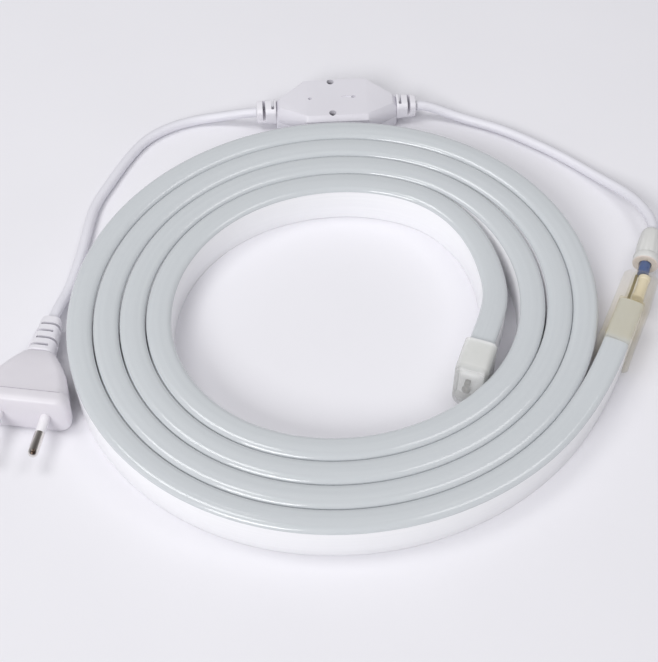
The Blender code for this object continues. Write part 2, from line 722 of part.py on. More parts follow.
def smooth_route(points, spacing):
    """Evenly spaced points on a smooth curve through the route's own points, with straight ends."""
    fine = []
    steps = 16
    for i in range(1, len(points) - 2):
        before, start, end, after = points[i - 1:i + 3]
        for step in range(steps):
            t = step / steps
            square = 2 * before - 5 * start + 4 * end - after
            cube = 3 * start - before - 3 * end + after
            fine.append(0.5 * (2 * start + (end - before) * t + square * t ** 2 + cube * t ** 3))
    fine.append(points[-2])
    lengths = [0.0]
    for a, b in zip(fine, fine[1:]):
        lengths.append(lengths[-1] + (b - a).length)
    count = max(2, round(lengths[-1] / spacing))
    even = []
    i = 0
    for k in range(count + 1):
        target = lengths[-1] * k / count
        while i < len(fine) - 2 and lengths[i + 1] < target:
            i += 1
        share = (target - lengths[i]) / (lengths[i + 1] - lengths[i])
        even.append(fine[i].lerp(fine[i + 1], min(share, 1.0)))
    return [points[0], *even, points[-1]]


def cord(name, points, colour):
    curve = bpy.data.curves.new(name, "CURVE")
    curve.dimensions = "3D"
    curve.bevel_depth = CORD_RADIUS
    curve.bevel_resolution = 2
    curve.use_fill_caps = True
    route = smooth_route(points, CORD_SPACING)
    spline = curve.splines.new("POLY")
    spline.points.add(len(route) - 1)
    for point, place in zip(spline.points, route):
        point.co = (*place, 1)
    add_object(name, curve, make_material(f"{name}_jacket", colour, 0.45))


def laid(route):
    spread = START_RADIUS / ROUTE_RADIUS
    return [COIL_MIDDLE + Vector((x * spread, y * spread, height)) * MM for x, y, height in route]


def cords():
    lead = laid(LEAD_ROUTE)
    mains = laid(MAINS_ROUTE)
    nut_place, nut_heading = connector_point(NECK_END)
    nut_end = nut_place + heading_vector(nut_heading) * (NUT_LENGTH + GAP)
    past_nut = nut_end + heading_vector(nut_heading) * 2 * CORD_RADIUS
    reach = BOX_HALF_LENGTH + BOX_RELIEF_LENGTH + 2 * GAP
    lead_in = box_point(reach, 0, BOX_RELIEF_HEIGHT)
    lead_before = box_point(reach + 2 * CORD_RADIUS, 0, BOX_RELIEF_HEIGHT)
    mains_out = box_point(-reach, 0, BOX_RELIEF_HEIGHT)
    mains_after = box_point(-reach - 2 * CORD_RADIUS, 0, BOX_RELIEF_HEIGHT)
    plug_in = plug_frame(-GAP).translation
    plug_before = plug_frame(-GAP - 2 * CORD_RADIUS).translation
    cord("lead_cord", [nut_end, past_nut, *lead, lead_before, lead_in], "#E9E8EE")
    cord("mains_cord", [mains_out, mains_after, *mains, plug_before, plug_in], "#E9E8EE")


base_channel()
diffuser_lens()
end_cap()
circuit_end()
connector_sleeve()
contact_core()
inner_wires()
gland_nut()
box_shells()
box_reliefs()
plug_body()
plug_pins()
plug_relief()
cords()
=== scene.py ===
"""LED neon flex: two metres wound flat, with its end cap, connector, rectifier box and plug.

Metres, +Z up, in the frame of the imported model."""

import math

import bmesh
import bpy
from mathutils import Matrix, Vector


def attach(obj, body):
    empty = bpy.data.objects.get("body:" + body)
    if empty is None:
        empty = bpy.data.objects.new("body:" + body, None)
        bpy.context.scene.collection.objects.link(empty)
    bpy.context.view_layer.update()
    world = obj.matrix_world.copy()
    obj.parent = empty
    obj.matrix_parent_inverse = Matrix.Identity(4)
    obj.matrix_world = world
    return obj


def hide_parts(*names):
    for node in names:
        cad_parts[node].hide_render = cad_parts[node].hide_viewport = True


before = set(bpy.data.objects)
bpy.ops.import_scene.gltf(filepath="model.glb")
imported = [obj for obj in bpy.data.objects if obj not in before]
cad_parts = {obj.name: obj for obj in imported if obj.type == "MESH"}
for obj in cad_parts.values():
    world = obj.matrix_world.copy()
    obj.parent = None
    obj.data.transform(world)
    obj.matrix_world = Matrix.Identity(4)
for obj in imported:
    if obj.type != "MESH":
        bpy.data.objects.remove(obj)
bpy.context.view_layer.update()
MM = 0.001


# Camera. It stands in front of the coil and looks down at it at 54 degrees, from 0.6 m away,
# with a long lens, so the turns keep nearly the same width from front to back.

CAMERA_PLACE = Vector((-17.90, -353.88, 484.39)) * MM
CAMERA_TILT = math.radians(36.19)
CAMERA_LENS = 79.06
CAMERA_SENSOR = 36.0

camera_data = bpy.data.cameras.new("camera")
camera_data.lens = CAMERA_LENS
camera_data.sensor_width = CAMERA_SENSOR
camera = bpy.data.objects.new("camera", camera_data)
camera.location = CAMERA_PLACE
camera.rotation_euler = (CAMERA_TILT, 0, 0)
bpy.context.scene.collection.objects.link(camera)
bpy.context.scene.camera = camera
bpy.context.scene.view_settings.view_transform = "Standard"


# Cords. Two stretches of one round two-core mains cord, 4.4 mm thick: the lead, from the connector
# to the rectifier box, and the mains cord, from the box to the plug. Their jacket is extruded
# soft PVC, white and a little glossy, with a faint unevenness in its colour.

COIL_MIDDLE = Vector((-13.5, 2.6, 0.0)) * MM
CORD_DIAMETER = 4.4 * MM
CORD_SPACING = 7.5 * MM
STEPS_PER_STRETCH = 16
# Points in mm from the coil's middle, from one exit to the other
LEAD_ROUTE = (
    (132.85, 42.05, 10.9), (134.1, 46.27, 10.9), (132.3, 55.0, 9.3), (127.1, 66.9, 6.4),
    (114.7, 80.6, 3.4), (101.4, 92.7, 2.5), (87.7, 102.3, 2.5), (73.4, 110.8, 2.5),
    (58.6, 116.6, 2.6), (47.3, 120.0, 4.7), (39.82, 120.9, 7.5), (35.43, 120.63, 7.5),
)
MAINS_ROUTE = (
    (-37.63, 116.17, 7.5), (-42.02, 115.9, 7.5), (-47.6, 117.0, 5.2), (-64.1, 116.4, 2.5),
    (-75.9, 112.1, 2.5), (-87.2, 103.9, 2.5), (-95.1, 91.2, 2.5), (-101.9, 76.1, 2.5),
    (-107.2, 62.5, 2.5), (-109.9, 38.8, 2.5), (-113.2, 18.6, 2.5), (-115.9, 8.5, 3.9),
    (-117.13, 3.25, 5.09), (-117.66, -1.1, 5.47),
)


def linear(code):
    """Linear RGBA of an sRGB hex colour."""
    channels = (int(code[i:i + 2], 16) / 255 for i in (1, 3, 5))
    return tuple(c / 12.92 if c <= 0.04045 else ((c + 0.055) / 1.055) ** 2.4 for c in channels) + (1.0,)


def add_node(material, kind, settings, links):
    """Adds a node, sets its properties and sockets, and links its sockets from other nodes' outputs."""
    node = material.node_tree.nodes.new(kind)
    for name, value in settings.items():
        if isinstance(name, str) and hasattr(node, name):
            setattr(node, name, value)
        else:
            node.inputs[name].default_value = value
    for name, source in links.items():
        material.node_tree.links.new(source, node.inputs[name])
    return node


def start_material(name, roughness, ior, metallic=0.0):
    """A new material and its shader, with the values that are the same all over the surface."""
    material = bpy.data.materials.new(name)
    material.use_nodes = True
    shader = material.node_tree.nodes["Principled BSDF"]
    shader.inputs["Roughness"].default_value = roughness
    shader.inputs["Metallic"].default_value = metallic
    if metallic == 0:
        shader.inputs["IOR"].default_value = ior
    return material, shader


def mixed_colour(material, factor, low, high):
    """Colour between two others, each a hex code or another node's output."""
    settings = {"data_type": "RGBA"}
    links = {0: factor}
    for socket, colour in ((6, low), (7, high)):
        if isinstance(colour, str):
            settings[socket] = linear(colour)
        else:
            links[socket] = colour
    return add_node(material, "ShaderNodeMix", settings, links).outputs[2]


def moulded_finish(name, low, high, patch, grain, depth, roughness, ior=1.5, metallic=0.0):
    """Two close colours in soft patches and a fine raised grain; patch, grain and depth in metres."""
    material, shader = start_material(name, roughness, ior, metallic)
    links = material.node_tree.links
    place = add_node(material, "ShaderNodeTexCoord", {}, {}).outputs["Object"]
    patches = add_node(material, "ShaderNodeTexNoise", {"Scale": 1 / patch, "Detail": 3.0}, {"Vector": place})
    colour = mixed_colour(material, patches.outputs["Fac"], low, high)
    links.new(colour, shader.inputs["Base Color"])
    fine = add_node(material, "ShaderNodeTexNoise", {"Scale": 1 / grain, "Detail": 2.0}, {"Vector": place})
    raised = add_node(
        material, "ShaderNodeBump", {"Strength": 0.5, "Distance": depth}, {"Height": fine.outputs["Fac"]},
    )
    links.new(raised.outputs["Normal"], shader.inputs["Normal"])
    spread = add_node(
        material, "ShaderNodeMapRange", {"To Min": roughness - 0.06, "To Max": roughness + 0.06},
        {"Value": fine.outputs["Fac"]},
    )
    links.new(spread.outputs["Result"], shader.inputs["Roughness"])
    return material


# PVC jacket: patches of 18 mm from handling, and a grain of 0.9 mm, drawn coarser than the real one
cord_jacket = moulded_finish(
    "soft_pvc_jacket", "#DAD9E0", "#E4E3EA", 18 * MM, 0.9 * MM, 0.02 * MM, 0.42, 1.53,
)


def eased(route, spacing):
    """Evenly spaced points on a smooth curve through the route's points, with straight ends."""
    fine = []
    for before, start, end, after in zip(route, route[1:], route[2:], route[3:]):
        for step in range(STEPS_PER_STRETCH):
            t = step / STEPS_PER_STRETCH
            square = 2 * before - 5 * start + 4 * end - after
            cube = 3 * start - before - 3 * end + after
            fine.append(0.5 * (2 * start + (end - before) * t + square * t ** 2 + cube * t ** 3))
    fine.append(route[-2])
    reached = [0.0]
    for near, far in zip(fine, fine[1:]):
        reached.append(reached[-1] + (far - near).length)
    count = round(reached[-1] / spacing)
    even = []
    i = 0
    for k in range(count + 1):
        target = reached[-1] * k / count
        while i < len(fine) - 2 and reached[i + 1] < target:
            i += 1
        share = (target - reached[i]) / (reached[i + 1] - reached[i])
        even.append(fine[i].lerp(fine[i + 1], min(share, 1.0)))
    return [route[0], *even, route[-1]]


def lay_cord(name, node, route_mm):
    """A round cord along a route, which stands for a CAD node, and the points it runs through."""
    points = eased([COIL_MIDDLE + Vector(point) * MM for point in route_mm], CORD_SPACING)
    curve = bpy.data.curves.new(name, "CURVE")
    curve.dimensions = "3D"
    curve.bevel_depth = CORD_DIAMETER / 2
    curve.bevel_resolution = 6
    curve.resolution_u = 6
    curve.use_fill_caps = True
    line = curve.splines.new("NURBS")
    line.points.add(len(points) - 1)
    for point, place in zip(line.points, points):
        point.co = (*place, 1)
    line.use_endpoint_u = True
    line.order_u = 4
    curve.materials.append(cord_jacket)
    cord = bpy.data.objects.new(name, curve)
    bpy.context.scene.collection.objects.link(cord)
    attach(cord, "root")
    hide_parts(node)
    return cord, points


lead, lead_points = lay_cord("lead_jacket", "lead_cord", LEAD_ROUTE)
mains, mains_points = lay_cord("mains_jacket", "mains_cord", MAINS_ROUTE)


# Base channel of the flex. An opaque white PVC profile, 10 mm wide, extruded around the LED circuit
# and wound four times round, clockwise inwards. Both ends are lifted by the floor of the cap and
# of the connector.

STRIP_WIDTH = 10.0 * MM
STRIP_HEIGHT = 18.6 * MM
LENS_SIDE = 2.0 * MM
START_RADIUS = 106.4 * MM
PITCH = 10.3 * MM
OVAL = 3.9 * MM
OVAL_ANGLE = math.radians(16.5)
LEFT_SLACK = 0.3 * MM
RIGHT_SLACK = 1.05 * MM
LEAN = 5.7 * MM
# Where the winding is slack or leans inwards: the middle and the reach, in degrees
LEFT_SIDE = (180, 70)
INNER_RIGHT_SIDE = (1062, 48)
LAST_BEND = (1433, 56)
FACET = math.radians(7.5)
FIRST_FACET = 4
LAST_FACET = 190
END_FACETS = 5
FACET_STEPS = 3
LIFT = 1.6 * MM
MOUTH = COIL_MIDDLE + Vector((109.0, -20.99, 0)) * MM
MOUTH_HEADING = math.radians(66.5)
MOUTH_GRIP = 21.4 * MM
CAP_MOUTH = COIL_MIDDLE + Vector((55.6, -22.4, 0)) * MM
CAP_HEADING = math.radians(-109)
CAP_PULL = 0.42
MOUTH_PULL = 0.33
CAP_GRIP = 12.5 * MM
WALL_EDGE = 0.25 * MM
WALL_FOOT = 0.55 * MM
# How far a rounded edge is cut back at its middle, as a share of its radius
EDGE_CUT = 0.3
# The streaks of an extrusion: how many times as long as wide, and how deep
STREAK_STRETCH = 60
DIE_LINE_DEPTH = 0.02 * MM


def heading_vector(heading):
    return Vector((math.cos(heading), math.sin(heading), 0))


def stood_at(place, heading):
    """Matrix that stands (right, forward, up) at a place, with forward along the heading."""
    forward = heading_vector(heading)
    right = Vector((forward.y, -forward.x, 0))
    matrix = Matrix((right, forward, Vector((0, 0, 1)))).transposed().to_4x4()
    matrix.translation = place
    return matrix


def bump(angle, middle, reach):
    """Rises smoothly from 0 to 1 at the middle and falls back within the reach, all in degrees."""
    offset = min(abs(angle - middle), reach)
    return math.cos(math.pi / 2 * offset / reach) ** 2


def eased_share(t):
    """Rises smoothly from 0 to 1 as t does."""
    return t * t * (3 - 2 * t)


def winding_point(wound):
    """Middle of the flex on the floor after winding through this angle."""
    turns = wound / (2 * math.pi)
    degrees = math.degrees(wound)
    radius = START_RADIUS - PITCH * turns + OVAL * math.cos(2 * (-wound - OVAL_ANGLE))
    radius -= LEFT_SLACK * turns * bump(degrees % 360, *LEFT_SIDE)
    radius -= RIGHT_SLACK * bump(degrees, *INNER_RIGHT_SIDE)
    radius -= LEAN * bump(degrees, *LAST_BEND)
    return COIL_MIDDLE + Vector((radius * math.cos(wound), -radius * math.sin(wound), 0))


def end_bend(start, start_heading, end, end_heading, pull):
    """Points of a smooth bend between two places with given headings, without the end points. The pull
    is how far each heading is held, as a share of the distance."""
    reach = (end - start).length * pull
    first = start + heading_vector(start_heading) * reach
    second = end - heading_vector(end_heading) * reach
    steps = END_FACETS * FACET_STEPS
    points = []
    for step in range(1, steps):
        t = step / steps
        s = 1 - t
        points.append(start * s ** 3 + first * 3 * t * s ** 2 + second * 3 * t ** 2 * s + end * t ** 3)
    return points


def flex_stations():
    """Matrices that stand the flex's section along its way, and the distance reached at each."""
    count = (LAST_FACET - FIRST_FACET) * FACET_STEPS
    turns = [winding_point(FACET * (FIRST_FACET + i / FACET_STEPS)) for i in range(count + 1)]
    entry = turns[1] - turns[0]
    leaving = turns[-1] - turns[-2]
    points = [MOUTH + heading_vector(MOUTH_HEADING) * MOUTH_GRIP, MOUTH.copy()]
    points += end_bend(MOUTH, MOUTH_HEADING + math.pi, turns[0], math.atan2(entry.y, entry.x), MOUTH_PULL)
    points += turns
    points += end_bend(turns[-1], math.atan2(leaving.y, leaving.x), CAP_MOUTH, CAP_HEADING, CAP_PULL)
    points += [CAP_MOUTH.copy(), CAP_MOUTH + heading_vector(CAP_HEADING) * CAP_GRIP]
    ramp = (END_FACETS + 2) * FACET_STEPS
    stations = []
    reached = 0.0
    for i, point in enumerate(points):
        if i > 0:
            reached += (point - points[i - 1]).length
        t = min(max((min(i, len(points) - 1 - i) - 1) / ramp, 0.0), 1.0)
        before = points[max(i - 1, 0)]
        after = points[min(i + 1, len(points) - 1)]
        raised = point + Vector((0, 0, LIFT * (1 - eased_share(t))))
        stations.append((stood_at(raised, math.atan2(after.y - before.y, after.x - before.x)), reached))
    return stations


def extruded_flex(section):
    """A closed mesh: the section of (outward, up) points stood at the first station and extruded on.
    Its map runs in metres, along the flex and around its section."""
    stations = flex_stations()
    bm = bmesh.new()
    along = bm.verts.layers.float.new("along")
    around = bm.verts.layers.float.new("around")
    corners = [bm.verts.new(stations[0][0] @ Vector((-out, 0, up))) for out, up in section]
    girth = 0.0
    for corner, following in zip(corners, corners[1:] + corners[:1]):
        corner[around] = girth
        girth += (following.co - corner.co).length
    ring = [bm.edges.new(pair) for pair in zip(corners, corners[1:] + corners[:1])]
    bmesh.ops.contextual_create(bm, geom=ring)
    for (before, _), (after, reached) in zip(stations, stations[1:]):
        grown = bmesh.ops.extrude_edge_only(bm, edges=ring)["geom"]
        ring = [part for part in grown if isinstance(part, bmesh.types.BMEdge)]
        corners = [part for part in grown if isinstance(part, bmesh.types.BMVert)]
        bmesh.ops.transform(bm, matrix=after @ before.inverted(), verts=corners)
        for corner in corners:
            corner[along] = reached
    bmesh.ops.contextual_create(bm, geom=ring)
    flow = bm.loops.layers.uv.new("flow")
    for face in bm.faces:
        furthest = max(loop.vert[around] for loop in face.loops)
        for loop in face.loops:
            turned = girth if furthest - loop.vert[around] > girth / 2 else 0
            loop[flow].uv = (loop.vert[along], loop.vert[around] + turned)
    bmesh.ops.recalc_face_normals(bm, faces=bm.faces)
    return bm


def finished(name, bm, material, slot, *nodes, sharp=40):
    """The bmesh as a piece that rides on the body and stands for these CAD nodes."""
    mesh = bpy.data.meshes.new(name)
    bm.to_mesh(mesh)
    bm.free()
    mesh.shade_smooth()
    mesh.set_sharp_from_angle(angle=math.radians(sharp))
    mesh.materials.append(material)
    piece = bpy.data.objects.new(name, mesh)
    bpy.context.scene.collection.objects.link(piece)
    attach(piece, "root")
    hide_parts(*nodes)
    return piece


def extruded_finish(name, low, high, streak, roughness, ior):
    """Two close colours in streaks that run along an extrusion; the streak's width is in metres."""
    material, shader = start_material(name, roughness, ior)
    links = material.node_tree.links
    place = add_node(material, "ShaderNodeUVMap", {"uv_map": "flow"}, {}).outputs["UV"]
    drawn_out = add_node(
        material, "ShaderNodeMapping", {"Scale": (1 / (STREAK_STRETCH * streak), 1 / streak, 1)},
        {"Vector": place},
    )
    streaks = add_node(
        material, "ShaderNodeTexNoise", {"Scale": 1.0, "Detail": 3.0},
        {"Vector": drawn_out.outputs["Vector"]},
    )
    links.new(mixed_colour(material, streaks.outputs["Fac"], low, high), shader.inputs["Base Color"])
    raised = add_node(
        material, "ShaderNodeBump", {"Strength": 0.25, "Distance": DIE_LINE_DEPTH},
        {"Height": streaks.outputs["Fac"]},
    )
    links.new(raised.outputs["Normal"], shader.inputs["Normal"])
    return material, shader


# Extruded white PVC: die lines 1 mm wide, so faint that they only break up its sheen
channel_white, _ = extruded_finish("extruded_white_pvc", "#F1F1F4", "#F9F9FB", 1 * MM, 0.42, 1.53)

half = STRIP_WIDTH / 2
wall_top = STRIP_HEIGHT - LENS_SIDE
wall_profile = (
    (half - WALL_FOOT, 0), (half - WALL_FOOT * EDGE_CUT, WALL_FOOT * EDGE_CUT), (half, WALL_FOOT),
    (half, wall_top - WALL_EDGE), (half - WALL_EDGE * EDGE_CUT, wall_top - WALL_EDGE * EDGE_CUT),
    (half - WALL_EDGE, wall_top),
)
channel_section = [*wall_profile, *((-out, up) for out, up in reversed(wall_profile))]
finished("base_channel_body", extruded_flex(channel_section), channel_white, "white_channel", "base_channel")


# Diffuser lens of the flex. Milky translucent silicone fills the channel and stands 2 mm out of
# it, with a nearly flat crown and shoulders rounded over 3 mm.

LENS_SHOULDER = 2.85 * MM
LENS_CROWN = 0.2 * MM
LENS_ROOT = 0.2 * MM
LENS_ROOT_INSET = 0.3 * MM
LENS_SWELL = 0.07 * MM
SHOULDER_STEPS = 9
CROWN_SHARES = (0.7, 0.35)

lens_base = wall_top - LENS_ROOT
rise = STRIP_HEIGHT - LENS_CROWN - wall_top
lens_half = half + LENS_SWELL
crown_half = lens_half - LENS_SHOULDER
lens_profile = [(lens_half - LENS_ROOT_INSET, lens_base)]
for step in range(SHOULDER_STEPS + 1):
    angle = math.pi / 2 * step / SHOULDER_STEPS
    lens_profile.append((crown_half + LENS_SHOULDER * math.cos(angle), wall_top + rise * math.sin(angle)))
for share in CROWN_SHARES:
    lens_profile.append((crown_half * share, STRIP_HEIGHT - LENS_CROWN * share ** 2))
lens_section = [*lens_profile, (0, STRIP_HEIGHT), *((-out, up) for out, up in reversed(lens_profile))]

# Translucent silicone: light sinks about 2 mm into it, which greys it and softens its edges, and
# its skin is glossy, so the shoulders carry clear highlights
milky_silicone, lens_shader = extruded_finish("milky_silicone", "#C7CBCF", "#CFD3D6", 1.5 * MM, 0.15, 1.41)
silicone_look = {
    "Subsurface Weight": 0.3, "Subsurface Radius": (2 * MM, 2 * MM, 2 * MM), "Subsurface Scale": 1.0,
    "Coat Weight": 0.6, "Coat Roughness": 0.1,
}
for socket, value in silicone_look.items():
    lens_shader.inputs[socket].default_value = value
finished("diffuser_lens_body", extruded_flex(lens_section), milky_silicone, "milky_lens", "diffuser_lens")


# End cap. A cloudy clear PVC cup, moulded with soft edges, glued over the flex's inner end. Its colour
# carries a painted highlight along the thick lip of its mouth, and painted shade where its walls
# are seen edge on.

CAP_WIDTH = 13.2 * MM
CAP_LENGTH = 17.9 * MM
CAP_HEIGHT = 21.8 * MM
CAP_END_ROUND = 4.2 * MM
CAP_TOP_ROUND = 2.8 * MM
CAP_FOOT_ROUND = 0.9 * MM
CAP_WALL = 1.2 * MM
CAP_LIP = 1.6 * MM
CAP_CLOUDY = 0.62
CAP_CLEAR = 0.27
CAP_CLEARING = 3 * MM
CLOUDY_GRAIN = 1.8 * MM
CLOUDY_GRAIN_DEPTH = 0.04 * MM
# Share of a lip's width over which its colour, a painted highlight where it is pale, is strongest
LIP_CORE = 0.5
CLOSE = 0.01 * MM


def block(size, low):
    """A bmesh box of this size, from its lowest corner."""
    bm = bmesh.new()
    bmesh.ops.create_cube(bm, size=1.0)
    bmesh.ops.scale(bm, vec=size, verts=bm.verts)
    bmesh.ops.translate(bm, vec=Vector(low) + Vector(size) / 2, verts=bm.verts)
    return bm


def rounded(bm, edges, offset, segments):
    bmesh.ops.bevel(
        bm, geom=edges, offset=offset, segments=segments, profile=0.5, affect="EDGES", material=-1,
        offset_type="OFFSET", clamp_overlap=True,
    )


def upright_edges(bm):
    return [e for e in bm.edges if abs(e.verts[0].co.z - e.verts[1].co.z) > MM]


def level_edges(bm, height):
    return [e for e in bm.edges if all(abs(v.co.z - height) < CLOSE for v in e.verts)]


cap_mesh = block((CAP_WIDTH, CAP_LENGTH, CAP_HEIGHT), (-CAP_WIDTH / 2, 0, 0))
rounded(cap_mesh, [e for e in upright_edges(cap_mesh) if e.verts[0].co.y > MM], CAP_END_ROUND, 8)
for height, offset, segments in ((CAP_HEIGHT, CAP_TOP_ROUND, 6), (0, CAP_FOOT_ROUND, 3)):
    rim = [e for e in level_edges(cap_mesh, height) if any(v.co.y > CLOSE for v in e.verts)]
    rounded(cap_mesh, rim, offset, segments)
mouth_faces = [f for f in cap_mesh.faces if all(v.co.y < CLOSE for v in f.verts)]
bmesh.ops.delete(cap_mesh, geom=mouth_faces, context="FACES")
bmesh.ops.recalc_face_normals(cap_mesh, faces=cap_mesh.faces)
bmesh.ops.solidify(cap_mesh, geom=cap_mesh.faces[:], thickness=CAP_WALL)
cap_matrix = stood_at(CAP_MOUTH, CAP_HEADING)
bmesh.ops.transform(cap_mesh, matrix=cap_matrix, verts=cap_mesh.verts)


def clear_finish(name, low, high, rim, dark, patch, alpha, roughness, matrix, lip):
    """Cloudy clear plastic: soft patches, a lip colour within so many metres of the mouth, which is
    where the matrix stands, and a darker colour where it is seen edge on. The lip colour is a painted
    highlight where it is paler than the patches, and the darker colour is painted shade."""
    material = moulded_finish(
        name, low, high, patch, CLOUDY_GRAIN, CLOUDY_GRAIN_DEPTH, roughness, 1.53,
    )
    shader = material.node_tree.nodes["Principled BSDF"]
    shader.inputs["Alpha"].default_value = alpha
    patches = shader.inputs["Base Color"].links[0].from_socket
    place = add_node(material, "ShaderNodeTexCoord", {}, {}).outputs["Object"]
    from_mouth = add_node(
        material, "ShaderNodeMapping",
        {"vector_type": "TEXTURE", "Location": matrix.translation, "Rotation": matrix.to_euler()},
        {"Vector": place},
    )
    parted = add_node(material, "ShaderNodeSeparateXYZ", {}, {"Vector": from_mouth.outputs["Vector"]})
    lip_highlight_and_tint_mask = add_node(
        material, "ShaderNodeMapRange", {"From Min": lip, "From Max": lip * LIP_CORE},
        {"Value": parted.outputs["Y"]},
    )
    lip_tinted_and_highlighted = mixed_colour(material, lip_highlight_and_tint_mask.outputs["Result"], patches, rim)
    # Painted shade: the colour darkens towards the dark colour where the surface is seen edge on
    edge_on = add_node(material, "ShaderNodeLayerWeight", {"Blend": 0.3}, {})
    edge_shaded = mixed_colour(material, edge_on.outputs["Facing"], lip_tinted_and_highlighted, dark)
    material.node_tree.links.new(edge_shaded, shader.inputs["Base Color"])
    return material, parted.outputs["Y"]


def clears_between(material, distance, start, end, cloudy, clear):
    """Thins a cloudy plastic from one alpha to a lower one between two distances from the mouth."""
    thinned = add_node(
        material, "ShaderNodeMapRange",
        {"From Min": start, "From Max": end, "To Min": cloudy, "To Max": clear}, {"Value": distance},
    )
    shader = material.node_tree.nodes["Principled BSDF"]
    material.node_tree.links.new(thinned.outputs["Result"], shader.inputs["Alpha"])


# Cloudy PVC: patches of 4 mm where glue has crept between the cap and the flex, and clearer past
# the flex's end, where the circuit shows through
# The cap's pale lip colour is a painted highlight along the mouth
cap_pvc, beyond_mouth = clear_finish(
    "cloudy_clear_pvc", "#ECEDEA", "#F6F6F4", "#FDFDFD", "#D6D8D4", 4 * MM, CAP_CLOUDY, 0.2,
    cap_matrix, CAP_LIP,
)
clears_between(cap_pvc, beyond_mouth, CAP_GRIP, CAP_GRIP + CAP_CLEARING, CAP_CLOUDY, CAP_CLEAR)
finished("end_cap_shell", cap_mesh, cap_pvc, "clear_cap", "end_cap", sharp=50)


# Circuit end. The flexible LED circuit sticks out of the flex's cut end inside the cap, with two
# tinned solder pads that have gone brown from the flux.

CIRCUIT_WIDTH = 2.2 * MM
CIRCUIT_HEIGHT = 5.6 * MM
CIRCUIT_REACH = 0.5 * MM
PAD_REACH = 1.8 * MM
CIRCUIT_ASIDE = 1.1 * MM
CIRCUIT_BELOW = 2.7 * MM
# (height above the circuit's middle, radius) of each pad
SOLDER_PADS = ((2.2 * MM, 1.25 * MM), (-1.5 * MM, 1.9 * MM))
PAD_SQUASH = 0.9

circuit_middle = CAP_HEIGHT / 2 - CIRCUIT_BELOW
circuit = block(
    (CIRCUIT_WIDTH, CIRCUIT_REACH, CIRCUIT_HEIGHT),
    (CIRCUIT_ASIDE - CIRCUIT_WIDTH / 2, CAP_GRIP, circuit_middle - CIRCUIT_HEIGHT / 2),
)
for height, radius in SOLDER_PADS:
    middle = Vector((CIRCUIT_ASIDE, CAP_GRIP + PAD_REACH, circuit_middle + height))
    squash = Matrix.Translation(middle) @ Matrix.Diagonal((1, PAD_SQUASH, 1, 1))
    bmesh.ops.create_uvsphere(circuit, u_segments=20, v_segments=12, radius=radius, matrix=squash)
bmesh.ops.transform(circuit, matrix=cap_matrix, verts=circuit.verts)
# Tin-lead solder: dull metal in 1.5 mm patches of grey and flux brown
tinned = moulded_finish(
    "tinned_solder", "#120C07", "#54483A", 1.5 * MM, 0.6 * MM, 0.08 * MM, 0.35, metallic=0.5,
)
finished("circuit_end_pads", circuit, tinned, "tinned_metal", "circuit_end")


# Power connector sleeve. Clear PVC, slightly yellow, moulded in one piece and pushed over the
# flex's outer end: a box around the flex, a shoulder, and a round neck that ends at the nut.

SLEEVE_WIDTH = 14.6 * MM
SLEEVE_HEIGHT = 21.8 * MM
SLEEVE_LENGTH = 32.9 * MM
SLEEVE_EDGE = 2.2 * MM
SLEEVE_FLARE = 0.5 * MM
SLEEVE_RIM = 0.4 * MM
SLEEVE_LIP = 1.2 * MM
# Distances of the rings between the flared mouth and the shoulder
SLEEVE_RINGS = (3 * MM, 14 * MM, 26 * MM)
NECK_BEND = math.radians(7)
NECK_LENGTH = 15.7 * MM
NECK_RADIUS = 5.2 * MM
# The shoulder takes up this share of the neck's length
SHOULDER_SHARE = 0.75
NECK_STEPS = 10
ROOM_WIDTH = 10.5 * MM
ROOM_HEIGHT = 19.1 * MM
ROOM_CORNER = 0.7 * MM
STEP_SLOPE = 0.2 * MM
CORE_BORE = 3.95 * MM
WIRE_BORE = 2.65 * MM
BORE_STEP = 42.4 * MM
SLEEVE_CLOUDY = 0.15
NECK_CLEAR = 0.06
# The largest corner a ring can have, as a share of its half side, before its corners meet
NEARLY_ROUND = 0.998


def connector_matrix(distance):
    """Matrix at a distance along the connector's axis: straight, one bend, straight."""
    bend_radius = NECK_LENGTH / NECK_BEND
    turned_by = min(max(distance - SLEEVE_LENGTH, 0), NECK_LENGTH) / bend_radius
    forward = heading_vector(MOUTH_HEADING)
    left = Vector((-forward.y, forward.x, 0))
    place = MOUTH + forward * min(distance, SLEEVE_LENGTH) + Vector((0, 0, SLEEVE_HEIGHT / 2))
    place += forward * bend_radius * math.sin(turned_by) + left * bend_radius * (1 - math.cos(turned_by))
    heading = MOUTH_HEADING + turned_by
    place += heading_vector(heading) * max(distance - SLEEVE_LENGTH - NECK_LENGTH, 0)
    return stood_at(place, heading)


def rounded_ring(bm, width, height, corner, matrix, segments=5):
    """Edges of a rounded rectangle that stands square to the matrix's forward axis."""
    upright = matrix @ Matrix.Rotation(math.pi / 2, 4, "X")
    made = bmesh.ops.create_grid(bm, x_segments=1, y_segments=1, size=0.5)["verts"]
    bmesh.ops.scale(bm, vec=(width, height, 1), verts=made)
    corner = min(corner, min(width, height) / 2 * NEARLY_ROUND)
    made = bmesh.ops.bevel(
        bm, geom=made, offset=corner, segments=segments, profile=0.5, affect="VERTICES", material=-1,
    )["verts"]
    face = made[0].link_faces[0]
    edges = list(face.edges)
    bmesh.ops.transform(bm, matrix=upright, verts=face.verts)
    bmesh.ops.delete(bm, geom=[face], context="FACES_ONLY")
    return edges


def round_ring(bm, radius, matrix):
    return rounded_ring(bm, 2 * radius, 2 * radius, radius, matrix)


def bridged(bm, rings):
    for near, far in zip(rings, rings[1:]):
        bmesh.ops.bridge_loops(bm, edges=near + far)


def closed(bm, rings):
    """Bridges the rings and fills the first and the last."""
    bridged(bm, rings)
    for ring in (rings[0], rings[-1]):
        bmesh.ops.contextual_create(bm, geom=ring)
    bmesh.ops.recalc_face_normals(bm, faces=bm.faces)
    return bm


neck_end = SLEEVE_LENGTH + NECK_LENGTH
flared_width = SLEEVE_WIDTH + SLEEVE_FLARE
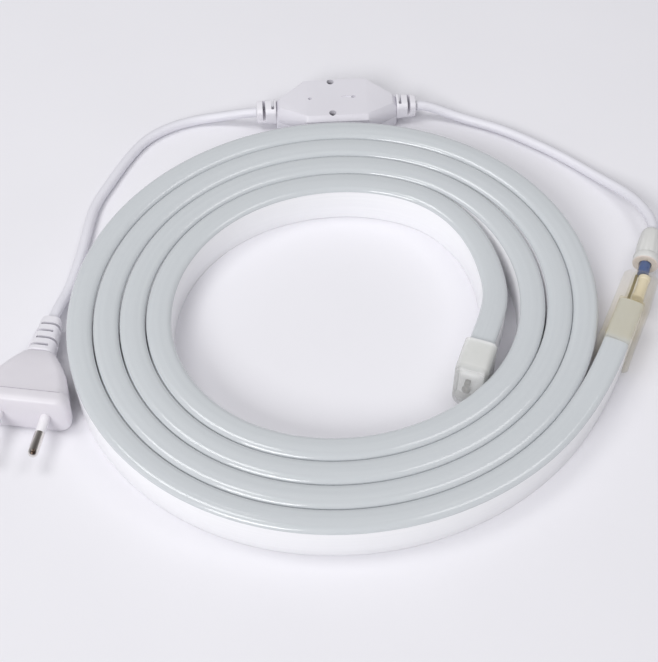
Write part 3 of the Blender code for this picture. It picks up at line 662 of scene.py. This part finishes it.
# (distance from the mouth, width, height, corner) of each ring: outside to the nut, then back inside
sleeve_stations = [
    (0, flared_width - SLEEVE_RIM, SLEEVE_HEIGHT - SLEEVE_RIM, SLEEVE_EDGE),
    (SLEEVE_RIM, flared_width, SLEEVE_HEIGHT, SLEEVE_EDGE),
    *((distance, SLEEVE_WIDTH, SLEEVE_HEIGHT, SLEEVE_EDGE) for distance in SLEEVE_RINGS),
]
for step in range(NECK_STEPS + 1):
    t = step / NECK_STEPS
    blend = eased_share(t)
    width = SLEEVE_WIDTH + (2 * NECK_RADIUS - SLEEVE_WIDTH) * blend
    height = SLEEVE_HEIGHT + (2 * NECK_RADIUS - SLEEVE_HEIGHT) * blend
    corner = SLEEVE_EDGE + (NECK_RADIUS - SLEEVE_EDGE) * blend
    sleeve_stations.append((SLEEVE_LENGTH + NECK_LENGTH * SHOULDER_SHARE * t, width, height, corner))
for distance, radius in (
    (neck_end, NECK_RADIUS), (neck_end, WIRE_BORE), (BORE_STEP + STEP_SLOPE, WIRE_BORE),
    (BORE_STEP, CORE_BORE), (MOUTH_GRIP + 2 * STEP_SLOPE, CORE_BORE),
):
    sleeve_stations.append((distance, 2 * radius, 2 * radius, radius))
for distance in (MOUTH_GRIP + STEP_SLOPE, 0):
    sleeve_stations.append((distance, ROOM_WIDTH, ROOM_HEIGHT, ROOM_CORNER))
sleeve = bmesh.new()
rings = [
    rounded_ring(sleeve, width, height, corner, connector_matrix(distance))
    for distance, width, height, corner in sleeve_stations
]
bridged(sleeve, rings + rings[:1])
bmesh.ops.recalc_face_normals(sleeve, faces=sleeve.faces)
# Clear PVC that has yellowed: 6 mm patches of straw and olive
# The sleeve's pale lip colour is a painted highlight along the mouth
sleeve_pvc, along_sleeve = clear_finish(
    "clear_yellowed_pvc", "#DCC98A", "#F2E5BC", "#F1EEDF", "#BBAA78", 6 * MM, SLEEVE_CLOUDY, 0.14,
    stood_at(MOUTH, MOUTH_HEADING), SLEEVE_LIP,
)
# The neck is clean and clearer, so the blue wire shows through it
clears_between(sleeve_pvc, along_sleeve, SLEEVE_LENGTH, BORE_STEP, SLEEVE_CLOUDY, NECK_CLEAR)
finished("connector_sleeve_shell", sleeve, sleeve_pvc, "clear_sleeve", "connector_sleeve", sharp=50)


# Contact core. A cream nylon barrel that holds the two contact pins, pushed into the sleeve behind
# the flex's end, with a lip at each end.

CORE_RADIUS = 2.5 * MM
CORE_START = 30.0 * MM
CORE_LENGTH = 12.1 * MM
CORE_OFFSET = 1.1 * MM
CORE_LIP = 0.3 * MM
CORE_COLLAR = 1.8 * MM


def barrel(stations, aside):
    """A closed round body along the connector, shifted aside, from the (distance, radius) of its rings."""
    bm = bmesh.new()
    shift = Matrix.Translation((aside, 0, 0))
    rings = [round_ring(bm, radius, connector_matrix(distance) @ shift) for distance, radius in stations]
    return closed(bm, rings)


core_waist = CORE_RADIUS - CORE_LIP
core_end = (
    (0, core_waist), (CORE_LIP, CORE_RADIUS), (CORE_COLLAR, CORE_RADIUS),
    (CORE_COLLAR + CORE_LIP, core_waist),
)
core_stations = [(CORE_START + distance, radius) for distance, radius in core_end]
core_stations.append((CORE_START + CORE_LENGTH / 2, core_waist))
for distance, radius in reversed(core_end):
    core_stations.append((CORE_START + CORE_LENGTH - distance, radius))
# Nylon: cream, with a mould grain of 0.6 mm
cream_nylon = moulded_finish("cream_nylon", "#E8DDC4", "#F2EAD8", 4 * MM, 0.6 * MM, 0.03 * MM, 0.4, 1.53)
core = barrel(core_stations, CORE_OFFSET)
finished("contact_core_barrel", core, cream_nylon, "cream_core", "contact_core")


# Wires inside the connector. The blue PVC insulation of one conductor fills the neck, and a thin
# dark wire runs beside the contact core to the flex.

BLUE_RADIUS = 2.35 * MM
DARK_RADIUS = 0.6 * MM
DARK_GAP = 0.3 * MM
# Distances of the rings from the mouth, in mm
BLUE_RINGS = (42.8, 44.5, 46, 47.5, 48.6, 53, 58.6)
DARK_RINGS = (21.8, 26, 30, 33, 36, 39, 42.1)

blue = barrel([(distance * MM, BLUE_RADIUS) for distance in BLUE_RINGS], 0)
# PVC insulation: deep blue with 2 mm patches
blue_pvc = moulded_finish("blue_insulation", "#0A3F86", "#1A5A9E", 2 * MM, 0.6 * MM, 0.02 * MM, 0.38, 1.53)
finished("blue_wire_insulation", blue, blue_pvc, "blue_wire", "blue_wire")

beside_core = CORE_OFFSET - CORE_RADIUS - DARK_GAP - DARK_RADIUS
dark = barrel([(distance * MM, DARK_RADIUS) for distance in DARK_RINGS], beside_core)
# The other conductor's insulation: olive brown, in 2 mm patches
dark_pvc = moulded_finish("dark_insulation", "#3A3423", "#5E553C", 2 * MM, 0.5 * MM, 0.02 * MM, 0.45, 1.53)
finished("dark_wire_insulation", dark, dark_pvc, "dark_wire", "dark_wire")


# Gland nut. Cloudy PVC, moulded, and screwed onto the end of the sleeve's neck: a smooth collar and
# a long cone, fluted for the fingers, that grips the lead.

NUT_CLOUDY = 0.82
NUT_LIP = 0.9 * MM
NUT_FLUTES = 12
FLUTE_DEPTH = 0.25 * MM
FLUTE_START = 4.4 * MM
FLUTE_RADIUS = 4.9 * MM
# (radius, distance) in mm: outside from the collar to the tip, then the bore
NUT_PROFILE = (
    (2.7, 0.3), (5.0, 0.3), (5.35, 0.5), (5.5, 0.95), (5.5, 3.6), (5.35, 4.0), (5.0, 4.3), (5.1, 4.7),
    (5.1, 8.6), (4.95, 12.1), (4.45, 16.1), (4.1, 17.6), (3.7, 18.3), (3.3, 18.6), (2.4, 18.6),
    (2.4, 17.1), (2.7, 14.3),
)


def spun(profile, steps=32):
    """A (radius, height) outline in mm spun about its own Z axis."""
    bm = bmesh.new()
    points = [bm.verts.new((radius * MM, 0, height * MM)) for radius, height in profile]
    line = [bm.edges.new(pair) for pair in zip(points, points[1:])]
    if profile[0][0] > 0:
        line.append(bm.edges.new((points[-1], points[0])))
    bmesh.ops.spin(
        bm, geom=points + line, cent=(0, 0, 0), axis=(0, 0, 1), angle=2 * math.pi, steps=steps,
        use_merge=True,
    )
    bmesh.ops.remove_doubles(bm, verts=bm.verts, dist=0.005 * MM)
    bmesh.ops.recalc_face_normals(bm, faces=bm.faces)
    return bm


nut = spun(NUT_PROFILE, NUT_FLUTES * 4)
for corner in nut.verts:
    radius = math.hypot(corner.co.x, corner.co.y)
    if radius > FLUTE_RADIUS and corner.co.z > FLUTE_START:
        flute = FLUTE_DEPTH * max(math.cos(NUT_FLUTES * math.atan2(corner.co.y, corner.co.x)), 0)
        corner.co.x *= 1 - flute / radius
        corner.co.y *= 1 - flute / radius
z_forward = Matrix.Rotation(-math.pi / 2, 4, "X")
nut_matrix = connector_matrix(neck_end)
bmesh.ops.transform(nut, matrix=nut_matrix @ z_forward, verts=nut.verts)
# Cloudy PVC: 4 mm patches, and warmer at the rim that meets the yellowed neck
# The nut's darker edge-on colour is painted shade
cloudy_nut, _ = clear_finish(
    "cloudy_nut_pvc", "#E6E6E4", "#F1F1EF", "#EBDDD4", "#D8D8D4", 4 * MM, NUT_CLOUDY, 0.3,
    nut_matrix, NUT_LIP,
)
finished("gland_nut_body", nut, cloudy_nut, "cloudy_nut", "gland_nut")


# Rectifier box. Two white ABS shells on a long eight-sided outline, closed by two screws at the
# bottom of round holes. The lid has a bevel all round and three small ejector marks.

BOX_MIDDLE = COIL_MIDDLE + Vector((-1.1, 118.4, 0)) * MM
BOX_TURN = math.radians(3.5)
BOX_HALF_LENGTH = 27.6 * MM
BOX_HALF_BACK = 14.0 * MM
BOX_HALF_DEPTH = 13.3 * MM
BOX_HALF_SIDE = 5.0 * MM
BOX_HEIGHT = 15.0 * MM
BOX_SPLIT = 6.4 * MM
BOX_SEAM = 0.12 * MM
BOX_BEVEL = 2.1 * MM
BOX_CORNER = 1.1 * MM
BOX_FOOT = 0.8 * MM
SEAM_EDGE = 0.2 * MM
SCREW_SPACING = 19.7 * MM
SCREW_SHIFT = -2.2 * MM
SCREW_HOLE = 1.6 * MM
SCREW_DEPTH = 4.2 * MM
HOLE_ABOVE = 1 * MM
# Ejector marks on the lid: place along and across the box, half length, half width and depth, in mm
EJECTOR_MARKS = ((-12.0, -0.3, 0.9, 0.75, 2.0), (7.7, -0.1, 1.1, 0.75, 2.0), (4.8, 0.2, 2.6, 0.5, 0.7))
MARK_RISE = 0.05 * MM
# The lid falls towards the reliefs and grows narrower, above its shoulder
LID_SHOULDER = 0.7 * BOX_HEIGHT
END_FALL = 2.8 * MM
END_NARROWING = 0.28

box_matrix = Matrix.Translation(BOX_MIDDLE) @ Matrix.Rotation(BOX_TURN, 4, "Z")


def box_shell(low, high):
    """The box's outline extruded from one height to another, with rounded corners."""
    bm = bmesh.new()
    long, side, deep, back = BOX_HALF_LENGTH, BOX_HALF_SIDE, BOX_HALF_DEPTH, BOX_HALF_BACK
    corners = (
        (long, -side), (long, side), (back, deep), (-back, deep),
        (-long, side), (-long, -side), (-back, -deep), (back, -deep),
    )
    face = bm.faces.new([bm.verts.new((x, y, low)) for x, y in corners])
    grown = bmesh.ops.extrude_face_region(bm, geom=[face], use_keep_orig=True)["geom"]
    upper = [part for part in grown if isinstance(part, bmesh.types.BMVert)]
    bmesh.ops.translate(bm, vec=(0, 0, high - low), verts=upper)
    bmesh.ops.recalc_face_normals(bm, faces=bm.faces)
    rounded(bm, upright_edges(bm), BOX_CORNER, 3)
    return bm


def cut_by(name, bm, cutters):
    """The bmesh with the cutters' volumes taken out."""
    mesh = bpy.data.meshes.new(name)
    bm.to_mesh(mesh)
    bm.free()
    piece = bpy.data.objects.new(name, mesh)
    bpy.context.scene.collection.objects.link(piece)
    tools = []
    for i, cutter in enumerate(cutters):
        cutter_mesh = bpy.data.meshes.new(f"{name}_{i}")
        cutter.to_mesh(cutter_mesh)
        cutter.free()
        tool = bpy.data.objects.new(f"{name}_{i}", cutter_mesh)
        bpy.context.scene.collection.objects.link(tool)
        tools.append(tool)
        modifier = piece.modifiers.new(f"cut_{i}", "BOOLEAN")
        modifier.operation = "DIFFERENCE"
        modifier.solver = "EXACT"
        modifier.object = tool
    bpy.context.view_layer.update()
    result = bmesh.new()
    result.from_object(piece, bpy.context.evaluated_depsgraph_get())
    for used in [piece, *tools]:
        bpy.data.objects.remove(used, do_unlink=True)
    return result


# Spark-eroded ABS: 20 mm patches from the flow of the plastic, and a grain of 0.7 mm
shell_white = moulded_finish("spark_eroded_abs", "#D8D6DD", "#E1DFE6", 20 * MM, 0.7 * MM, 0.02 * MM, 0.42)

bottom = box_shell(0, BOX_SPLIT)
rounded(bottom, level_edges(bottom, 0), BOX_FOOT, 3)
rounded(bottom, level_edges(bottom, BOX_SPLIT), SEAM_EDGE, 2)
bmesh.ops.transform(bottom, matrix=box_matrix, verts=bottom.verts)
finished("box_bottom_body", bottom, shell_white, "white_shell", "box_bottom_shell")

lid_base = BOX_SPLIT + BOX_SEAM
lid = box_shell(lid_base, BOX_HEIGHT)
rounded(lid, level_edges(lid, BOX_HEIGHT), BOX_BEVEL, 1)
rounded(lid, level_edges(lid, lid_base), SEAM_EDGE, 2)
for side in (-1, 1):
    bmesh.ops.bisect_plane(
        lid, geom=lid.verts[:] + lid.edges[:] + lid.faces[:], plane_co=(side * BOX_HALF_BACK, 0, 0),
        plane_no=(1, 0, 0),
    )
for corner in lid.verts:
    out = max(abs(corner.co.x) - BOX_HALF_BACK, 0) / (BOX_HALF_LENGTH - BOX_HALF_BACK)
    if corner.co.z > LID_SHOULDER:
        corner.co.z -= END_FALL * out
        corner.co.y *= 1 - END_NARROWING * out
hollows = []
for side in (-1, 1):
    hole = bmesh.new()
    hole_middle = BOX_HEIGHT - SCREW_DEPTH / 2 + HOLE_ABOVE / 2
    bmesh.ops.create_cone(
        hole, cap_ends=True, segments=32, radius1=SCREW_HOLE, radius2=SCREW_HOLE,
        depth=SCREW_DEPTH + HOLE_ABOVE,
        matrix=Matrix.Translation((SCREW_SHIFT, side * SCREW_SPACING / 2, hole_middle)),
    )
    hollows.append(hole)
for along_box, across, half_long, half_wide, mark_depth in EJECTOR_MARKS:
    mark = bmesh.new()
    bmesh.ops.create_uvsphere(mark, u_segments=20, v_segments=10, radius=MM)
    bmesh.ops.scale(mark, vec=(half_long, half_wide, mark_depth), verts=mark.verts)
    bmesh.ops.translate(
        mark, vec=(along_box * MM, across * MM, BOX_HEIGHT + MARK_RISE), verts=mark.verts,
    )
    hollows.append(mark)
lid = cut_by("lid", lid, hollows)
bmesh.ops.transform(lid, matrix=box_matrix, verts=lid.verts)
finished("box_lid_body", lid, shell_white, "white_shell", "box_top_shell")


# Box screws. Self-tapping screws of blackened steel with a crossed slot, driven in until their heads
# lie 2.6 mm below the top of the lid.

SCREW_HEAD = 1.4 * MM
SCREW_HEAD_THICK = 1.3 * MM
SCREW_HEAD_ROUND = 0.4 * MM
SCREW_HEAD_GAP = 0.3 * MM
CROSS_LENGTH = 1.8 * MM
CROSS_WIDTH = 0.4 * MM
CROSS_DEPTH = 0.5 * MM

# Blackened steel: near black, with 1 mm patches where the screwdriver has polished it
blackened = moulded_finish(
    "blackened_steel", "#050506", "#101011", 1 * MM, 0.3 * MM, 0.02 * MM, 0.5, metallic=0.6,
)
for number, side in ((1, -1), (2, 1)):
    head = bmesh.new()
    bmesh.ops.create_cone(
        head, cap_ends=True, segments=32, radius1=SCREW_HEAD, radius2=SCREW_HEAD, depth=SCREW_HEAD_THICK,
    )
    rounded(head, level_edges(head, SCREW_HEAD_THICK / 2), SCREW_HEAD_ROUND, 3)
    cross_low = SCREW_HEAD_THICK / 2 - CROSS_DEPTH
    slots = [
        block((long, wide, MM), (-long / 2, -wide / 2, cross_low))
        for long, wide in ((CROSS_LENGTH, CROSS_WIDTH), (CROSS_WIDTH, CROSS_LENGTH))
    ]
    head = cut_by(f"screw_{number}", head, slots)
    sunk = BOX_HEIGHT - SCREW_DEPTH + SCREW_HEAD_GAP + SCREW_HEAD_THICK / 2
    bmesh.ops.translate(head, vec=(SCREW_SHIFT, side * SCREW_SPACING / 2, sunk), verts=head.verts)
    bmesh.ops.transform(head, matrix=box_matrix, verts=head.verts)
    finished(f"box_screw_head_{number}", head, blackened, "dark_screw", f"box_screw_{number}")


# Strain reliefs. Soft white PVC cones moulded over the cord, with slots cut into them from the
# top, now on one side and now on the other, so that they bend with it. Two are clipped into the
# ends of the box, and one grows out of the plug.

SLOT_WIDTH = 1.3 * MM
SLOT_PITCH = 4.0 * MM
SLOT_REACH = 3.0 * MM
SLOT_DROP = 1.4 * MM
SLOT_ROUND = 0.3 * MM
# (distance from the end, how much slimmer the cone is there) in mm, in order along the cone
RELIEF_TIP_EDGE = ((0, 0.6), (0.3, 0.15), (0.9, 0))
RELIEF_ROOT_EDGE = ((1.1, 0.1), (0.4, 0), (0, 0.15))
BOX_RELIEF_HEIGHT = 7.5 * MM
BOX_RELIEF_REACH = 8.7 * MM
BOX_RELIEF_TIP = 4.1 * MM
BOX_RELIEF_ROOT = 4.7 * MM
BOX_RELIEF_FIRST_SLOT = 1.5 * MM
BOX_RELIEF_BITE = 0.1 * MM
BOX_RELIEF_ROUNDNESS = 0.5

# Soft PVC: two close tones in 9 mm patches, with a grain of 0.8 mm
relief_white = moulded_finish(
    "soft_pvc_relief", "#E2E0E7", "#EDEBF0", 9 * MM, 0.8 * MM, 0.02 * MM, 0.45, 1.53,
)


def strain_relief(name, matrix, length, tip, root, roundness, slots, node):
    """A rounded cone along the matrix's forward axis, from the cord's end to its root. Each slot has
    its side, 1 for right, and its distance from the root."""
    cone = bmesh.new()
    profile = [(distance * MM, tip - slimmer * MM) for distance, slimmer in RELIEF_TIP_EDGE]
    profile.append((length / 2, (tip + root) / 2))
    profile += [(length - distance * MM, root - slimmer * MM) for distance, slimmer in RELIEF_ROOT_EDGE]
    cone_rings = [
        rounded_ring(cone, 2 * radius, 2 * radius, radius * roundness, Matrix.Translation((0, distance, 0)))
        for distance, radius in profile
    ]
    closed(cone, cone_rings)
    width = root + SLOT_REACH
    cutters = []
    for side, from_root in slots:
        low_x = -SLOT_REACH if side == 1 else SLOT_REACH - width
        low = (low_x, length - from_root - SLOT_WIDTH / 2, -SLOT_DROP)
        cutter = block((width, SLOT_WIDTH, 2 * root), low)
        rounded(cutter, cutter.edges[:], SLOT_ROUND, 2)
        cutters.append(cutter)
    cone = cut_by(name, cone, cutters)
    bmesh.ops.transform(cone, matrix=matrix, verts=cone.verts)
    return finished(name, cone, relief_white, "white_relief", node)


for name, side in (("lead", 1), ("mains", -1)):
    relief_tip = box_matrix @ Vector((side * (BOX_HALF_LENGTH + BOX_RELIEF_REACH), 0, BOX_RELIEF_HEIGHT))
    relief_matrix = stood_at(relief_tip, BOX_TURN + (math.pi if side == 1 else 0))
    box_slots = ((side, BOX_RELIEF_FIRST_SLOT), (-side, BOX_RELIEF_FIRST_SLOT + SLOT_PITCH))
    strain_relief(
        f"box_relief_{name}_cone", relief_matrix, BOX_RELIEF_REACH + BOX_RELIEF_BITE, BOX_RELIEF_TIP,
        BOX_RELIEF_ROOT, BOX_RELIEF_ROUNDNESS, box_slots, f"box_relief_{name}",
    )


# Plug. A two-pin mains plug, moulded onto the cord in white PVC: a fan-shaped grip with a parting
# groove across its top and a wider flange at its face. It lies on its belly, so its middle line
# rises towards the pins.

PLUG_TIP = COIL_MIDDLE + Vector((-117.7, -1.4, 5.5)) * MM
PLUG_HEADING = math.radians(-97)
PLUG_RISE = math.radians(5)
PLUG_RELIEF_LENGTH = 19.4 * MM
PLUG_RELIEF_TIP = 4.1 * MM
PLUG_RELIEF_ROOT = 5.7 * MM
PLUG_RELIEF_FIRST_SLOT = 3.0 * MM
PLUG_RELIEF_SLOTS = 4
PLUG_RELIEF_BITE = 0.2 * MM
PLUG_RELIEF_ROUNDNESS = 0.7
PLUG_LENGTH = 29.1 * MM
PARTING_SHARE = 0.8
PARTING_SPAN = 60 * MM
PARTING_WIDTH = 0.3 * MM
PARTING_HEIGHT = 8.65 * MM
PARTING_CUT = 8 * MM
# Share of the length, half width and half height in mm, and corner radius per half height
PLUG_STATIONS = (
    (0.0, 6.0, 4.9, 0.8), (0.012, 6.6, 5.3, 0.75), (0.055, 7.5, 5.9, 0.7), (0.15, 9.3, 6.8, 0.62),
    (0.27, 11.5, 7.5, 0.56), (0.415, 13.9, 8.0, 0.52), (0.59, 15.8, 8.4, 0.5), (0.7, 16.5, 8.7, 0.5),
    (0.76, 16.8, 8.85, 0.5), (0.79, 17.7, 9.0, 0.5), (0.82, 18.2, 9.1, 0.5), (0.9, 18.5, 9.2, 0.5),
    (0.95, 18.4, 9.1, 0.5), (0.985, 17.8, 8.6, 0.5), (1.0, 16.9, 7.9, 0.5),
)

plug_matrix = stood_at(PLUG_TIP, PLUG_HEADING) @ Matrix.Rotation(PLUG_RISE, 4, "X")
plug = bmesh.new()
rings = []
for share, half_width, half_height, roundness in PLUG_STATIONS:
    distance = PLUG_RELIEF_LENGTH + share * PLUG_LENGTH
    rings.append(rounded_ring(
        plug, 2 * half_width * MM, 2 * half_height * MM, half_height * MM * roundness,
        Matrix.Translation((0, distance, 0)), 8,
    ))
closed(plug, rings)
parting = block(
    (PARTING_SPAN, PARTING_WIDTH, PARTING_CUT),
    (-PARTING_SPAN / 2, PLUG_RELIEF_LENGTH + PARTING_SHARE * PLUG_LENGTH, PARTING_HEIGHT),
)
plug = cut_by("plug_shape", plug, [parting])
bmesh.ops.transform(plug, matrix=plug_matrix, verts=plug.verts)
# Moulded PVC: patches of 15 mm and a grain of 0.8 mm
plug_white = moulded_finish("moulded_pvc_plug", "#DAD6DD", "#E5E2E8", 15 * MM, 0.8 * MM, 0.02 * MM, 0.4, 1.53)
plug_piece = finished("plug_grip", plug, plug_white, "white_plug", "plug_body")

plug_slots = [
    ((1, -1)[number % 2], PLUG_RELIEF_FIRST_SLOT + SLOT_PITCH * number)
    for number in range(PLUG_RELIEF_SLOTS)
]
relief_piece = strain_relief(
    "plug_relief_cone", plug_matrix, PLUG_RELIEF_LENGTH + PLUG_RELIEF_BITE, PLUG_RELIEF_TIP,
    PLUG_RELIEF_ROOT, PLUG_RELIEF_ROUNDNESS, plug_slots, "plug_relief",
)


# Plug pins. Nickel-plated brass, 4 mm thick and 19 mm long with a rounded tip, each in a white
# insulating sleeve where it leaves the plug's face. The two lean 1.5 degrees towards each other.

PIN_SPACING = 18.6 * MM
PIN_TOE_IN = math.radians(1.5)
# (radius, distance from the face) in mm
PIN_PROFILE = (
    (0, 19.0), (0.7, 18.95), (1.25, 18.7), (1.65, 18.2), (1.9, 17.6), (2.0, 16.8), (2.0, 8.15),
    (1.9, 8.05), (1.3, 8.05), (1.3, -3.0), (0, -3.0),
)
PIN_SLEEVE_PROFILE = ((1.6, 8.0), (1.87, 8.0), (1.95, 7.9), (1.95, -0.4), (1.6, -0.4))

# Nickel plate: its colour holds a painted reflection, dark brown along its middle where the dark behind
# the camera would be mirrored, and pale at its sides where the room would be, the dark in patches of 3 mm
nickel = moulded_finish("nickel_plate", "#3A2F29", "#5A4C42", 3 * MM, 0.6 * MM, 0.01 * MM, 0.18, metallic=1.0)
nickel_shader = nickel.node_tree.nodes["Principled BSDF"]
edge_on = add_node(nickel, "ShaderNodeLayerWeight", {"Blend": 0.5}, {})
painted_reflection_mask = add_node(
    nickel, "ShaderNodeMapRange", {"From Min": 0.08, "From Max": 0.34}, {"Value": edge_on.outputs["Facing"]},
)
painted_dark_reflection = nickel_shader.inputs["Base Color"].links[0].from_socket
# Painted reflection: the pale room colour is mixed in towards the pin's sides
painted_reflection = mixed_colour(nickel, painted_reflection_mask.outputs["Result"], painted_dark_reflection, "#E6E2DE")
nickel.node_tree.links.new(painted_reflection, nickel_shader.inputs["Base Color"])
# Pin insulation: white, a little translucent, with a grain of 0.6 mm
sleeve_white = moulded_finish("pin_insulation", "#E4E1E6", "#EEECF0", 5 * MM, 0.6 * MM, 0.02 * MM, 0.38)

for name, side in (("right", -1), ("left", 1)):
    root = Matrix.Translation((side * PIN_SPACING / 2, PLUG_RELIEF_LENGTH + PLUG_LENGTH, 0))
    pin_matrix = plug_matrix @ root @ Matrix.Rotation(side * PIN_TOE_IN, 4, "Z") @ z_forward
    pin = spun(PIN_PROFILE)
    bmesh.ops.transform(pin, matrix=pin_matrix, verts=pin.verts)
    finished(f"plug_pin_{name}_metal", pin, nickel, "nickel_pin", f"plug_pin_{name}")
    tube = spun(PIN_SLEEVE_PROFILE)
    bmesh.ops.transform(tube, matrix=pin_matrix, verts=tube.verts)
    finished(
        f"pin_sleeve_{name}_tube", tube, sleeve_white, "pin_sleeve", f"pin_sleeve_{name}",
    )


# Floor. A plain sheet of white matt paper, 6 m square, that everything lies on. It belongs to the
# stage and not to the object.

FLOOR_SIZE = 6.0

floor_bm = bmesh.new()
bmesh.ops.create_grid(floor_bm, x_segments=1, y_segments=1, size=FLOOR_SIZE / 2)
floor_mesh = bpy.data.meshes.new("floor")
floor_bm.to_mesh(floor_mesh)
floor_bm.free()
# Matt paper: 60 mm clouds and a 2 mm fibre grain, both barely there
floor_mesh.materials.append(
    moulded_finish("matt_paper", "#E7E6EB", "#EBEAEF", 60 * MM, 2 * MM, 0.01 * MM, 0.8),
)
floor = bpy.data.objects.new("floor", floor_mesh)
bpy.context.scene.collection.objects.link(floor)


# Lights. Two softboxes overhead, left and right, whose reflections run along the shoulders of the
# flex, a stronger one from the front left, and a pale room that fills the shadows.

# (place, width, length, power in watts)
SOFT_LIGHTS = {
    "softbox_left": (Vector((-0.44, 0.07, 1.11)), 0.4, 0.5, 3.2),
    "softbox_right": (Vector((0.44, 0.07, 1.11)), 0.4, 0.5, 1.8),
    "front_light": (Vector((-1.0, -1.85, 1.65)), 1.2, 1.0, 34.0),
}
ROOM_COLOUR = "#F6F6F8"
ROOM_STRENGTH = 0.42

for name, (place, width, length, power) in SOFT_LIGHTS.items():
    light_data = bpy.data.lights.new(name, "AREA")
    light_data.shape = "RECTANGLE"
    light_data.size = width
    light_data.size_y = length
    light_data.energy = power
    light = bpy.data.objects.new(name, light_data)
    light.location = place
    light.rotation_euler = (-place).to_track_quat("-Z", "Y").to_euler()
    bpy.context.scene.collection.objects.link(light)

world = bpy.data.worlds.new("room")
world.use_nodes = True
world.node_tree.nodes["Background"].inputs["Color"].default_value = linear(ROOM_COLOUR)
world.node_tree.nodes["Background"].inputs["Strength"].default_value = ROOM_STRENGTH
bpy.context.scene.world = world
